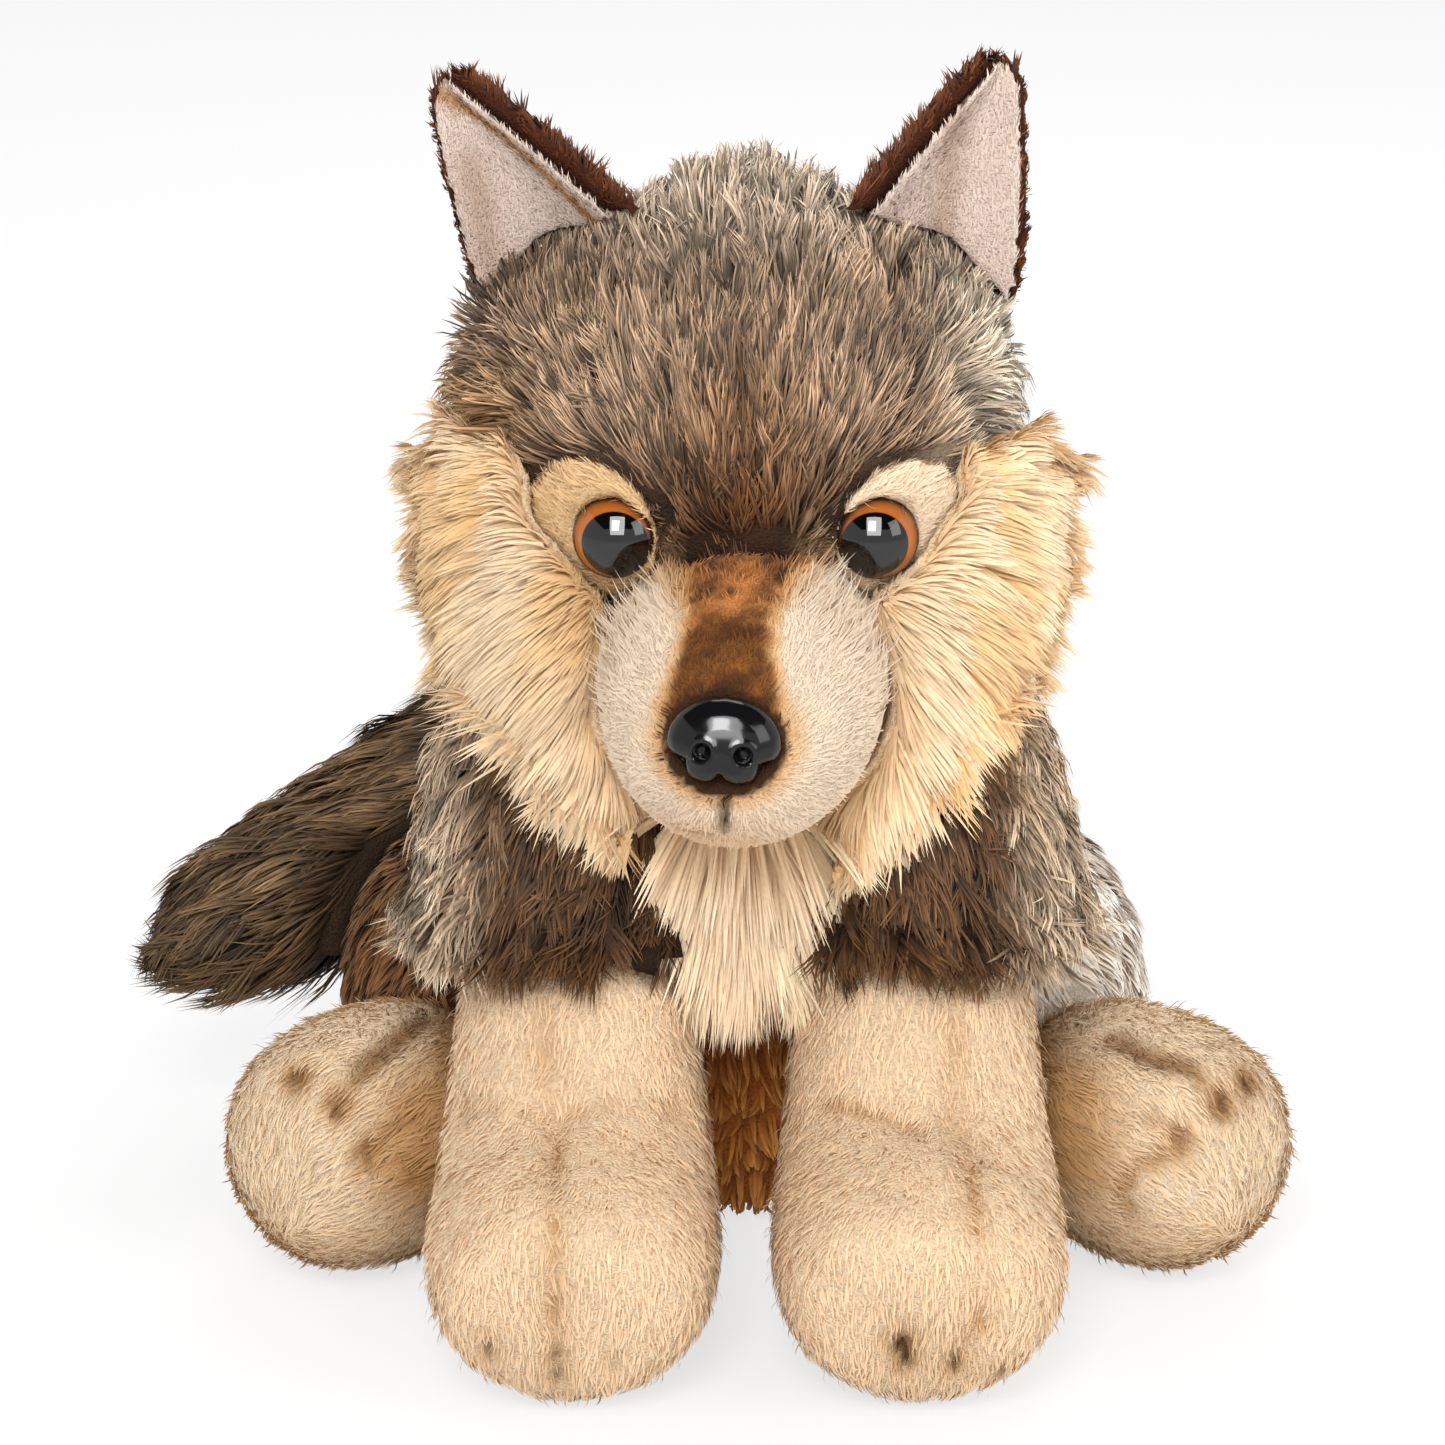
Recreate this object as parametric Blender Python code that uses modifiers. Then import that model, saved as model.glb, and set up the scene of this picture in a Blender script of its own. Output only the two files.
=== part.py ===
"""Seated plush wolf: stuffed forms of fur fabric with pressed-in safety eyes and a safety nose.

Metres, +Z up. The wolf looks along -Y, so +X is its own left side. The origin is the middle
of the flat seat that it sits on. Each long-pile form is modelled to the outside of its fur.
"""

import math

import bmesh
import bpy
from mathutils import Matrix, Vector

# Sewn or pressed-in pieces that touch keep this much air
CLEARANCE = 0.0003

# Torso, from the seat up to the neck
TORSO_HEIGHT = 0.178
TORSO_HALF_WIDTH = 0.073
TORSO_HALF_DEPTH = 0.062
TORSO_LEAN = 0.049
SEAT_Y = 0.004

# Head, an egg of stuffing turned a little to the wolf's right
HEAD_HALF_WIDTH = 0.067
HEAD_HALF_DEPTH = 0.062
HEAD_HALF_HEIGHT = 0.057
HEAD_SINK = 0.028
HEAD_FORWARD = 0.006
HEAD_TURN = math.radians(-2.5)
CROWN_RELIEF = 0.022

# The face sits this far to the wolf's left on the head, back to none at the nose
FACE_SHIFT = 0.0022

# Muzzle, measured from the front of the head
MUZZLE_LENGTH = 0.059
MUZZLE_HALF_WIDTH = 0.0328
MUZZLE_HALF_HEIGHT = 0.0322
MUZZLE_DROP = 0.0493

# Brow patches: short-pile pads let into the head round the eyes
BROW_HALF_WIDTH = 0.017
BROW_HALF_HEIGHT = 0.018
BROW_HALF_DEPTH = 0.0055
BROW_OUT = 0.005
BROW_UP = 0.001

# Safety eyes
EYE_SPREAD = 0.029
EYE_DROP = 0.0148
EYE_RADIUS = 0.0093
EYE_BULGE = 0.0056
EYE_RIM = 0.0022
EYE_PRESS = 0.0017
EYE_TOE_OUT = math.radians(11)
EYE_TILT = math.radians(5)

# Safety nose
NOSE_HALF_WIDTH = 0.0125
NOSE_HALF_HEIGHT = 0.0103
NOSE_DEPTH = 0.0085
NOSE_RAISE = 0.0058
NOSE_PRESS = 0.0065
NOSE_ROLL = math.radians(4)
NOSE_TILT = math.radians(10)
NOSTRIL_RADIUS = 0.002
NOSTRIL_SPREAD = 0.0044
NOSTRIL_DROP = 0.0016

# Shanks and press-on washers behind the eyes and the nose
SHANK_RADIUS = 0.0022
SHANK_RIDGE = 0.0004
SHANK_LENGTH = 0.0185
RIDGE_PITCH = 0.0022
FABRIC_GRIP = 0.0085
BROW_GRIP = 0.003
WASHER_RADIUS = 0.0075
WASHER_THICKNESS = 0.0014

# Ears: cupped triangles of brown pile with a short-pile lining
EAR_HEIGHT = 0.0465
EAR_TUCK = 0.014
EAR_HALF_WIDTH = 0.0275
EAR_TIP_HALF_WIDTH = 0.003
EAR_CUP = 0.012
EAR_BACK_PILE = 0.0065
EAR_LINING_PILE = 0.002
EAR_LINING_SHARE = 0.9
EAR_FULLNESS = 1.2
EAR_FORWARD = 0.009
EAR_OPENING_OUT = math.radians(26)
LEFT_EAR_SPREAD = 0.045
LEFT_EAR_LEAN = math.radians(20)
RIGHT_EAR_SPREAD = 0.0465
RIGHT_EAR_LEAN = math.radians(32)

# Cheek ruffs, fans of long pile from the crown's edge to under the chin
RUFF_HALF_WIDTH = 0.025
RUFF_HALF_LENGTH = 0.054
RUFF_SPREAD = 0.0475
RUFF_DROP = 0.046
RUFF_SLANT = 0.015
RUFF_FRONT = 0.056
RUFF_SWEEP = 0.036
RUFF_THICKNESS = 0.014
RUFF_LOCK = 0.0022
RUFF_LOCKS = 11

# Chest bib, a fan of long pile under the chin
BIB_HALF_WIDTH = 0.029
BIB_HALF_LENGTH = 0.034
BIB_TOP = 0.148
BIB_FRONT = 0.096
BIB_THICKNESS = 0.011
BIB_LOCK = 0.006
BIB_LOCKS = 10

# Forelegs: a long-pile sleeve over a short-pile lower leg and paw
SHOULDER_DROP = 0.014
SHOULDER_SPREAD = 0.036
SHOULDER_Y = -0.05
SLEEVE_SIDE_PILE = 0.007
SLEEVE_FRONT_PILE = 0.005
SLEEVE_HEM = 0.089
SLEEVE_SPREAD = 0.0435
SLEEVE_Y = -0.083
SLEEVE_TUCK = 0.009
SLEEVE_LOCK = 0.006
LEG_SPREAD = 0.0395
LEG_HALF_WIDTH = 0.0295
PAW_HALF_WIDTH = 0.0345
PAW_HALF_HEIGHT = 0.0305
PAW_REACH = 0.086
SEAM_PINCH = 0.12

# Hind legs: the round forms press this far flat on the surface
REST_PRESS = 0.001
THIGH_HALF_WIDTH = 0.037
THIGH_HALF_DEPTH = 0.052
THIGH_HALF_HEIGHT = 0.046
THIGH_SINK = 0.006
FOOT_LENGTH = 0.074
FOOT_RADIUS = 0.0328
LEFT_FOOT_SPREAD = 0.097
RIGHT_FOOT_SPREAD = 0.0905
FOOT_Y = -0.064
FOOT_TURN = math.radians(38)

# Tail, a brush lying round to the wolf's right
TAIL_RADIUS = 0.028
TAIL_ROOT_HEIGHT = 0.075
TAIL_ROOT_TUCK = 0.024
TAIL_REACH = 0.147
TAIL_SWEEP = 0.034
TAIL_RETURN = 0.03
TAIL_RISE = 0.012
TAIL_DROOP = 0.024
TAIL_LOCK = 0.006

# Pile colours, linear RGB
CREAM = (0.78, 0.6, 0.42)
GOLD = (0.84, 0.63, 0.38)
GREY_BROWN = (0.16, 0.11, 0.075)
MID_BROWN = (0.33, 0.22, 0.13)
EAR_BROWN = (0.09, 0.03, 0.014)
EAR_PINK = (0.72, 0.58, 0.5)
EYE_AMBER = (0.3, 0.1, 0.02)
NOSE_BLACK = (0.006, 0.006, 0.007)
WASHER_WHITE = (0.7, 0.7, 0.68)

# Neighbouring faces within this angle are one facet
SAME_FACET = math.radians(1.5)

ACROSS = Vector((1, 0, 0))


def clear_scene():
    for old in list(bpy.data.objects):
        bpy.data.objects.remove(old, do_unlink=True)


def new_collection(name):
    collection = bpy.data.collections.new(name)
    bpy.context.scene.collection.children.link(collection)
    return collection


clear_scene()
wolf = new_collection("plush_wolf")
cutters = new_collection("cutters")


def material(name, colour, roughness):
    """One finish, as a Principled surface."""
    finish = bpy.data.materials.new(name)
    finish.use_nodes = True
    shader = finish.node_tree.nodes["Principled BSDF"]
    shader.inputs["Base Color"].default_value = (*colour, 1)
    shader.inputs["Roughness"].default_value = roughness
    shader.inputs["Metallic"].default_value = 0
    return finish


def add_piece(name, bm, finish, collection=wolf):
    """Makes the object from its bmesh, with its faces pointing out."""
    bmesh.ops.recalc_face_normals(bm, faces=bm.faces)
    mesh = bpy.data.meshes.new(name)
    bm.to_mesh(mesh)
    bm.free()
    mesh.shade_smooth()
    mesh.materials.append(finish)
    piece = bpy.data.objects.new(name, mesh)
    collection.objects.link(piece)
    if collection is cutters:
        hide_cutter(piece)
    return piece


def hide_cutter(piece):
    piece.hide_render = True
    piece.display_type = "WIRE"


def soften(piece, levels=1):
    rounding = piece.modifiers.new("Rounding", "SUBSURF")
    rounding.levels = rounding.render_levels = levels


def split_faces(piece):
    """Splits curved faces one fixed way, so that a piece and the room left for it agree."""
    if "Facets" not in piece.modifiers:
        facets = piece.modifiers.new("Facets", "TRIANGULATE")
        facets.quad_method = "FIXED"


def cut(piece, cutter):
    split_faces(piece)
    difference = piece.modifiers.new(f"Cut by {cutter.name}", "BOOLEAN")
    difference.operation = "DIFFERENCE"
    difference.solver = "EXACT"
    difference.object = cutter


def room_of(piece):
    """The space that neighbours leave for a piece: its own whole form, grown by the clearance."""
    name = piece.name + "_room"
    if name in cutters.objects:
        return cutters.objects[name]
    split_faces(piece)
    room = piece.copy()
    room.name = name
    for modifier in list(room.modifiers):
        if modifier.type == "BOOLEAN":
            room.modifiers.remove(modifier)
    grown = room.modifiers.new("Clearance", "DISPLACE")
    grown.mid_level = 0
    grown.strength = CLEARANCE
    cutters.objects.link(room)
    hide_cutter(room)
    return room


def seat(piece, *carriers):
    """Shapes a piece to the pieces that it is sewn against."""
    for carrier in carriers:
        cut(piece, room_of(carrier))


def loft(name, finish, stations, *, hint=ACROSS, sides=10, shape=None, locks=0.0, collection=wolf):
    """A closed form along stations of (centre, half width, half depth), each ring square to the path.

    shape(angle, number, place) scales a ring at an angle from the hint side, where place runs from
    0 to 1 along the form. locks draws every second point of the last open ring out along the path.
    """
    bm = bmesh.new()
    rings = []
    last = len(stations) - 1
    steps = [after[0] - before[0] for before, after in zip(stations, stations[1:])]
    along = steps[0].normalized()
    for index, (centre, half_width, half_depth) in enumerate(stations):
        back, fore = steps[max(index - 1, 0)], steps[min(index, last - 1)]
        ahead = back + fore if back.dot(fore) > 0 else back
        # A hem that turns back up inside keeps its rings facing the way they came
        if ahead.dot(along) > 0:
            along = ahead.normalized()
        side = (hint - hint.dot(along) * along).normalized()
        front = along.cross(side)
        ring = []
        for number in range(sides):
            angle = math.tau * number / sides
            scale = shape(angle, number, index / last) if shape else 1
            point = centre + side * (half_width * scale * math.cos(angle))
            point += front * (half_depth * scale * math.sin(angle))
            if index == last - 1 and number % 2:
                point += along * locks
            ring.append(bm.verts.new(point))
        rings.append(ring)
    for lower, upper in zip(rings, rings[1:]):
        for number in range(sides):
            after = (number + 1) % sides
            bm.faces.new((lower[number], lower[after], upper[after], upper[number]))
    bm.faces.new(rings[0])
    bm.faces.new(rings[-1])
    return add_piece(name, bm, finish, collection)


def turned(name, finish, profile, steps=12, collection=wolf):
    """A turned piece about its own Z axis, from a profile that runs down its outer side.

    A profile that keeps off the axis is closed into a ring.
    """
    bm = bmesh.new()
    points = [bm.verts.new((radius, 0, height)) for radius, height in profile]
    for first, second in zip(points, points[1:]):
        bm.edges.new((first, second))
    if profile[0][0] > 0:
        bm.edges.new((points[-1], points[0]))
    mesh = bpy.data.meshes.new(name)
    bm.to_mesh(mesh)
    bm.free()
    mesh.materials.append(finish)
    piece = bpy.data.objects.new(name, mesh)
    collection.objects.link(piece)
    screw = piece.modifiers.new("Turning", "SCREW")
    screw.axis = "Z"
    screw.steps = screw.render_steps = steps
    screw.use_merge_vertices = True
    screw.merge_threshold = 0.00001
    screw.use_smooth_shade = True
    return piece


def fan(name, finish, centre, rim, thickness, wrap, segments):
    """A pad of long pile: rays from its middle out to the rim, thickest in the middle.

    rim(angle, number) gives (x, z) from the centre, and wrap(x, z) how far back the pad lies there.
    """
    shares = (0.45, 0.8, 1.0)
    bm = bmesh.new()

    def pad_point(x, z, share, facing):
        crown = thickness * math.sqrt(1 - share**2)
        return Vector((centre.x + x, centre.y + wrap(x, z) - facing * crown, centre.z + z))

    outlines = [rim(math.tau * number / segments, number) for number in range(segments)]
    edge = [bm.verts.new(pad_point(x, z, 1.0, 1)) for x, z in outlines]
    for facing in (1, -1):
        outer = edge
        for share in reversed(shares[:-1]):
            inner = []
            for number, (x, z) in enumerate(outlines):
                lift = 1.12 if number % 2 else 0.9
                point = pad_point(x * share, z * share, share, facing * lift)
                inner.append(bm.verts.new(point))
            for number in range(segments):
                after = (number + 1) % segments
                bm.faces.new((outer[number], outer[after], inner[after], inner[number]))
            outer = inner
        middle = bm.verts.new(pad_point(0, 0, 0, facing))
        for number in range(segments):
            bm.faces.new((outer[number], outer[(number + 1) % segments], middle))
    return add_piece(name, bm, finish)


def smooth_step(low, high, value):
    share = min(max((value - low) / (high - low), 0), 1)
    return share * share * (3 - 2 * share)


cream_pile = material("cream_short_pile", CREAM, 0.9)
gold_pile = material("gold_long_pile", GOLD, 0.85)
grey_pile = material("grey_brown_long_pile", GREY_BROWN, 0.85)
brown_pile = material("mid_brown_pile", MID_BROWN, 0.9)
ear_pile = material("ear_brown_pile", EAR_BROWN, 0.85)
lining_pile = material("ear_lining_pile", EAR_PINK, 0.9)
eye_plastic = material("amber_eye_plastic", EYE_AMBER, 0.08)
nose_plastic = material("black_nose_plastic", NOSE_BLACK, 0.12)
washer_plastic = material("washer_plastic", WASHER_WHITE, 0.4)


# The floor that the seat, the paws and the feet rest flat on
def make_floor_cutter():
    reach = TAIL_REACH + TORSO_HEIGHT
    bm = bmesh.new()
    bmesh.ops.create_cube(bm, size=2 * reach, matrix=Matrix.Translation((0, 0, -reach)))
    return add_piece("floor_cutter", bm, brown_pile, cutters)


floor_cutter = make_floor_cutter()


# Torso
def torso_middle(share):
    """Where the torso's middle lies at a share of its height."""
    lean = TORSO_LEAN * max(share, 0) ** 1.6
    return Vector((0, SEAT_Y - lean, TORSO_HEIGHT * share))


def make_torso():
    girths = (
        (-0.06, 0.76),
        (0.06, 0.94),
        (0.28, 1.03),
        (0.52, 0.97),
        (0.76, 0.83),
        (0.92, 0.64),
        (1.0, 0.33),
    )
    stations = [
        (torso_middle(share), TORSO_HALF_WIDTH * girth, TORSO_HALF_DEPTH * girth)
        for share, girth in girths
    ]
    torso = loft("torso", brown_pile, stations)
    soften(torso)
    cut(torso, floor_cutter)
    return torso


torso = make_torso()
neck = torso_middle(1)
head_centre = neck + Vector((0, -HEAD_FORWARD, HEAD_HALF_HEIGHT - HEAD_SINK))
head_turn = bpy.data.objects.new("head_turn", None)
head_turn.location = head_centre
head_turn.rotation_euler.z = HEAD_TURN
wolf.objects.link(head_turn)


# Head, and where things sit on it, in its own turned frame
def head_front(x, z):
    """The point of the head's front at x across and z up from its middle."""
    share = 1 - (x / HEAD_HALF_WIDTH) ** 2 - (z / HEAD_HALF_HEIGHT) ** 2
    return Vector((x, -HEAD_HALF_DEPTH * math.sqrt(share), z))


def make_head():
    bm = bmesh.new()
    bmesh.ops.create_uvsphere(bm, u_segments=24, v_segments=12, radius=1)
    for vert in bm.verts:
        turn = math.atan2(vert.co.y, vert.co.x)
        flute = CROWN_RELIEF * math.cos(12 * turn) * smooth_step(0.15, 0.45, vert.co.z)
        reach = 1 + flute * min(1, 3 * vert.co.xy.length)
        vert.co.x *= HEAD_HALF_WIDTH * reach
        vert.co.y *= HEAD_HALF_DEPTH * reach
        vert.co.z *= HEAD_HALF_HEIGHT * reach
    head = add_piece("head", bm, grey_pile)
    head.parent = head_turn
    return head


head = make_head()


# Muzzle, egg-shaped and narrower at the chin
def make_muzzle():
    girths = ((-0.5, 0.96), (-0.05, 1.02), (0.3, 1.0), (0.62, 0.83), (0.87, 0.56), (0.985, 0.28))
    stations = []
    for share, girth in girths:
        across = FACE_SHIFT * (1 - share)
        centre = Vector((across, -HEAD_HALF_DEPTH - MUZZLE_LENGTH * share, -MUZZLE_DROP))
        stations.append((centre, MUZZLE_HALF_WIDTH * girth, MUZZLE_HALF_HEIGHT * girth))

    def egg(angle, number, place):
        corner = max(0, math.sin(angle)) * abs(math.cos(angle))
        return 1.03 + 0.06 * math.sin(angle) * (1 - place) - 0.12 * corner

    muzzle = loft("muzzle", cream_pile, stations, sides=12, shape=egg)
    soften(muzzle)
    muzzle.parent = head_turn
    return muzzle


muzzle = make_muzzle()


# Safety eyes, noses and their washers
def shank_profile(start):
    """Down a ridged shank from a height, as (radius, height) points that end on the axis."""
    points = []
    ridges = int((SHANK_LENGTH - RIDGE_PITCH) / RIDGE_PITCH / 3)
    for ridge in range(ridges):
        top = start - RIDGE_PITCH * (1.5 + 3 * ridge)
        points.append((SHANK_RADIUS, top))
        points.append((SHANK_RADIUS + SHANK_RIDGE, top - RIDGE_PITCH * 0.5))
    tip = start - SHANK_LENGTH
    points.append((SHANK_RADIUS, tip + SHANK_RADIUS * 0.6))
    points.append((SHANK_RADIUS * 0.5, tip))
    points.append((0, tip))
    return points


def eye_profile():
    """A domed cap with a turned-in rim, on its shank."""
    sphere = (EYE_RADIUS**2 + EYE_BULGE**2) / (2 * EYE_BULGE)
    opening = math.asin(EYE_RADIUS / sphere)
    points = []
    for step in range(4):
        angle = opening * step / 3
        points.append((sphere * math.sin(angle), EYE_BULGE - sphere * (1 - math.cos(angle))))
    points.append((EYE_RADIUS, -EYE_RIM / 2))
    points.append((EYE_RADIUS - EYE_RIM / 2, -EYE_RIM))
    points.append((SHANK_RADIUS, -EYE_RIM))
    return points + shank_profile(-EYE_RIM)


def socket_profile(radius, top, bottom):
    """The room for a cap of this radius and the plain hole for the shank behind it."""
    hole = SHANK_RADIUS + SHANK_RIDGE + CLEARANCE
    tip = bottom - SHANK_LENGTH - CLEARANCE
    cap = radius + CLEARANCE
    floor = bottom - CLEARANCE
    return [(0, top), (cap, top), (cap, floor), (hole, floor), (hole, tip), (0, tip)]


def washer_profile(hole):
    """A press-on washer with a hub behind it, about a hole, or without one as the pocket for it."""
    hub = SHANK_RADIUS + SHANK_RIDGE + CLEARANCE + WASHER_THICKNESS
    return [
        (hole, 0),
        (WASHER_RADIUS, 0),
        (WASHER_RADIUS, -WASHER_THICKNESS),
        (hub, -WASHER_THICKNESS),
        (hub, -2 * WASHER_THICKNESS),
        (hole, -2 * WASHER_THICKNESS),
    ]


def place(piece, location, facing):
    """Stands a turned piece at a point of the head, its axis along facing."""
    piece.parent = head_turn
    piece.location = location
    piece.rotation_euler = facing.to_track_quat("Z", "Y").to_euler()


def cut_socket(name, radius, top, bottom, location, facing, *pieces):
    """Cuts the socket for a cap and its shank through these pieces."""
    socket = turned(name, washer_plastic, socket_profile(radius, top, bottom), collection=cutters)
    place(socket, location, facing)
    hide_cutter(socket)
    for piece in pieces:
        cut(piece, socket)
    return socket


def fit_washer(name, stuffed, shank_seat, facing, grip):
    """A washer pressed on to a shank inside a stuffed form, and the pocket that it lies in."""
    hole = SHANK_RADIUS + SHANK_RIDGE + CLEARANCE
    pocket = turned(name + "_pocket", washer_plastic, washer_profile(0), collection=cutters)
    washer = turned(name, washer_plastic, washer_profile(hole))
    for piece in (pocket, washer):
        place(piece, shank_seat - facing * grip, facing)
    hide_cutter(pocket)
    cut(stuffed, room_of(pocket))


def make_eye_set(name, side):
    """The eye, its washer and the brow patch on one side, seated in the head."""
    patch_middle = head_front(FACE_SHIFT + side * (EYE_SPREAD + BROW_OUT), BROW_UP - EYE_DROP)
    normal = Vector(
        (
            patch_middle.x / HEAD_HALF_WIDTH**2,
            patch_middle.y / HEAD_HALF_DEPTH**2,
            patch_middle.z / HEAD_HALF_HEIGHT**2,
        )
    ).normalized()
    bm = bmesh.new()
    bmesh.ops.create_uvsphere(bm, u_segments=12, v_segments=8, radius=1)
    bmesh.ops.scale(bm, vec=(BROW_HALF_WIDTH, BROW_HALF_HEIGHT, BROW_HALF_DEPTH), verts=bm.verts)
    patch = add_piece(name + "_brow_patch", bm, cream_pile)
    place(patch, patch_middle, normal)

    facing = Vector(
        (
            side * math.sin(EYE_TOE_OUT),
            -math.cos(EYE_TOE_OUT) * math.cos(EYE_TILT),
            math.sin(EYE_TILT),
        )
    )
    eye_seat = head_front(FACE_SHIFT + side * EYE_SPREAD, -EYE_DROP)
    eye_seat += facing * (BROW_HALF_DEPTH - EYE_PRESS)
    eye = turned(name + "_eye", eye_plastic, eye_profile())
    place(eye, eye_seat, facing)
    seat(head, patch)
    socket = cut_socket(
        name + "_socket", EYE_RADIUS, EYE_BULGE, -EYE_RIM, eye_seat, facing, patch, head
    )
    fit_washer(name + "_eye_washer", head, eye_seat, facing, 2 * BROW_HALF_DEPTH + BROW_GRIP)
    return patch, socket


def nose_outline(angle):
    """The moulded nose seen from the front: wide above, lobed below, notched at the foot."""
    radius = 1 - 0.1 * max(0, -math.sin(angle)) ** 2
    for notch, depth, width in ((-90, 0.16, 11), (-33, 0.08, 12), (-147, 0.08, 12)):
        away = math.degrees(angle) - (notch % 360)
        radius -= depth * math.exp(-((away / width) ** 2))
    return radius


def make_nose():
    """The nose with its nostrils and shank, and its washer."""
    muzzle_front = Vector((0, -HEAD_HALF_DEPTH - MUZZLE_LENGTH, NOSE_RAISE - MUZZLE_DROP))
    facing = Vector((0, -math.cos(NOSE_TILT), math.sin(NOSE_TILT)))
    back = muzzle_front - facing * NOSE_PRESS
    crowns = (
        (0, 0.93),
        (0.1, 1.0),
        (0.35, 0.99),
        (0.62, 0.88),
        (0.85, 0.65),
        (0.96, 0.4),
        (1.0, 0.15),
    )
    stations = []
    for share, girth in crowns:
        centre = Vector((0, 0, NOSE_DEPTH * share))
        stations.append((centre, NOSE_HALF_WIDTH * girth, NOSE_HALF_HEIGHT * girth))

    def lobes(angle, number, place_along):
        return 1 + (nose_outline(angle) - 1) * (1 - place_along**2)

    nose = loft("nose", nose_plastic, stations, sides=20, shape=lobes)
    turn = facing.to_track_quat("Z", "Y") @ Matrix.Rotation(-NOSE_ROLL, 3, "Z").to_quaternion()
    nose.parent = head_turn
    nose.location = back
    nose.rotation_euler = turn.to_euler()
    inside_nose = [(0, SHANK_RADIUS), (SHANK_RADIUS, SHANK_RADIUS)]
    shank = turned("nose_shank", nose_plastic, inside_nose + shank_profile(0), collection=cutters)
    place(shank, back, facing)
    hide_cutter(shank)
    for side in (1, -1):
        bm = bmesh.new()
        bmesh.ops.create_uvsphere(bm, u_segments=8, v_segments=6, radius=NOSTRIL_RADIUS)
        nostril = add_piece(f"nostril_{side}", bm, nose_plastic, cutters)
        drop = Vector((side * NOSTRIL_SPREAD, -NOSTRIL_DROP, NOSE_DEPTH * 0.88))
        nostril.parent = head_turn
        nostril.location = back + turn @ drop
        cut(nose, nostril)
    nose_room = room_of(nose)
    joined = nose.modifiers.new("Moulded with its shank", "BOOLEAN")
    joined.operation = "UNION"
    joined.object = shank
    cut(muzzle, nose_room)
    cut_socket("nose_socket", SHANK_RADIUS, CLEARANCE, 0, back, facing, muzzle)
    fit_washer("nose_washer", muzzle, back, facing, FABRIC_GRIP)


left_brow_patch, left_socket = make_eye_set("left", 1)
right_brow_patch, right_socket = make_eye_set("right", -1)
seat(muzzle, head, left_brow_patch, right_brow_patch)
cut(muzzle, left_socket)
cut(muzzle, right_socket)
make_nose()


# Ears
def make_ear(name, side, spread, lean):
    """One ear: a cupped sheet of brown pile, and the thinner lining inside the cup."""
    root = Vector((side * spread, -EAR_FORWARD, 0))
    share = 1 - (root.x / HEAD_HALF_WIDTH) ** 2 - (root.y / HEAD_HALF_DEPTH) ** 2
    root.z = HEAD_HALF_HEIGHT * math.sqrt(share)
    turn = Matrix.Rotation(side * lean, 3, "Y") @ Matrix.Rotation(side * EAR_OPENING_OUT, 3, "Z")

    def cupped(across, up, share):
        """A point of the sewn sheet: across from -1 to 1, up from 0 at the tuck to 1 at the tip."""
        half_width = EAR_HALF_WIDTH * share * (1 - max(up, 0) ** EAR_FULLNESS)
        height = (EAR_HEIGHT + EAR_TUCK) * up - EAR_TUCK
        depth = EAR_CUP * (1 - across**2) * (1 - 0.6 * up)
        return root + turn @ Vector((across * (half_width + EAR_TIP_HALF_WIDTH), depth, height))

    pieces = []
    for suffix, pile, share, finish, facing in (
        ("_ear_back", EAR_BACK_PILE, 1.0, ear_pile, -1),
        ("_ear_lining", EAR_LINING_PILE, EAR_LINING_SHARE, lining_pile, 1),
    ):
        bm = bmesh.new()
        bmesh.ops.create_grid(bm, x_segments=4, y_segments=3, size=1)
        for vert in bm.verts:
            vert.co = cupped(vert.co.x, (vert.co.y + 1) / 2, share)
        mesh = bpy.data.meshes.new(name + suffix)
        bm.to_mesh(mesh)
        bm.free()
        mesh.shade_smooth()
        mesh.materials.append(finish)
        piece = bpy.data.objects.new(name + suffix, mesh)
        wolf.objects.link(piece)
        piece.parent = head_turn
        pile_depth = piece.modifiers.new("Pile", "SOLIDIFY")
        pile_depth.thickness = pile
        pile_depth.offset = facing
        soften(piece)
        pieces.append(piece)
    back, lining = pieces
    seat(lining, back, head)
    seat(back, head)


make_ear("left", 1, LEFT_EAR_SPREAD, LEFT_EAR_LEAN)
make_ear("right", -1, RIGHT_EAR_SPREAD, RIGHT_EAR_LEAN)


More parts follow.
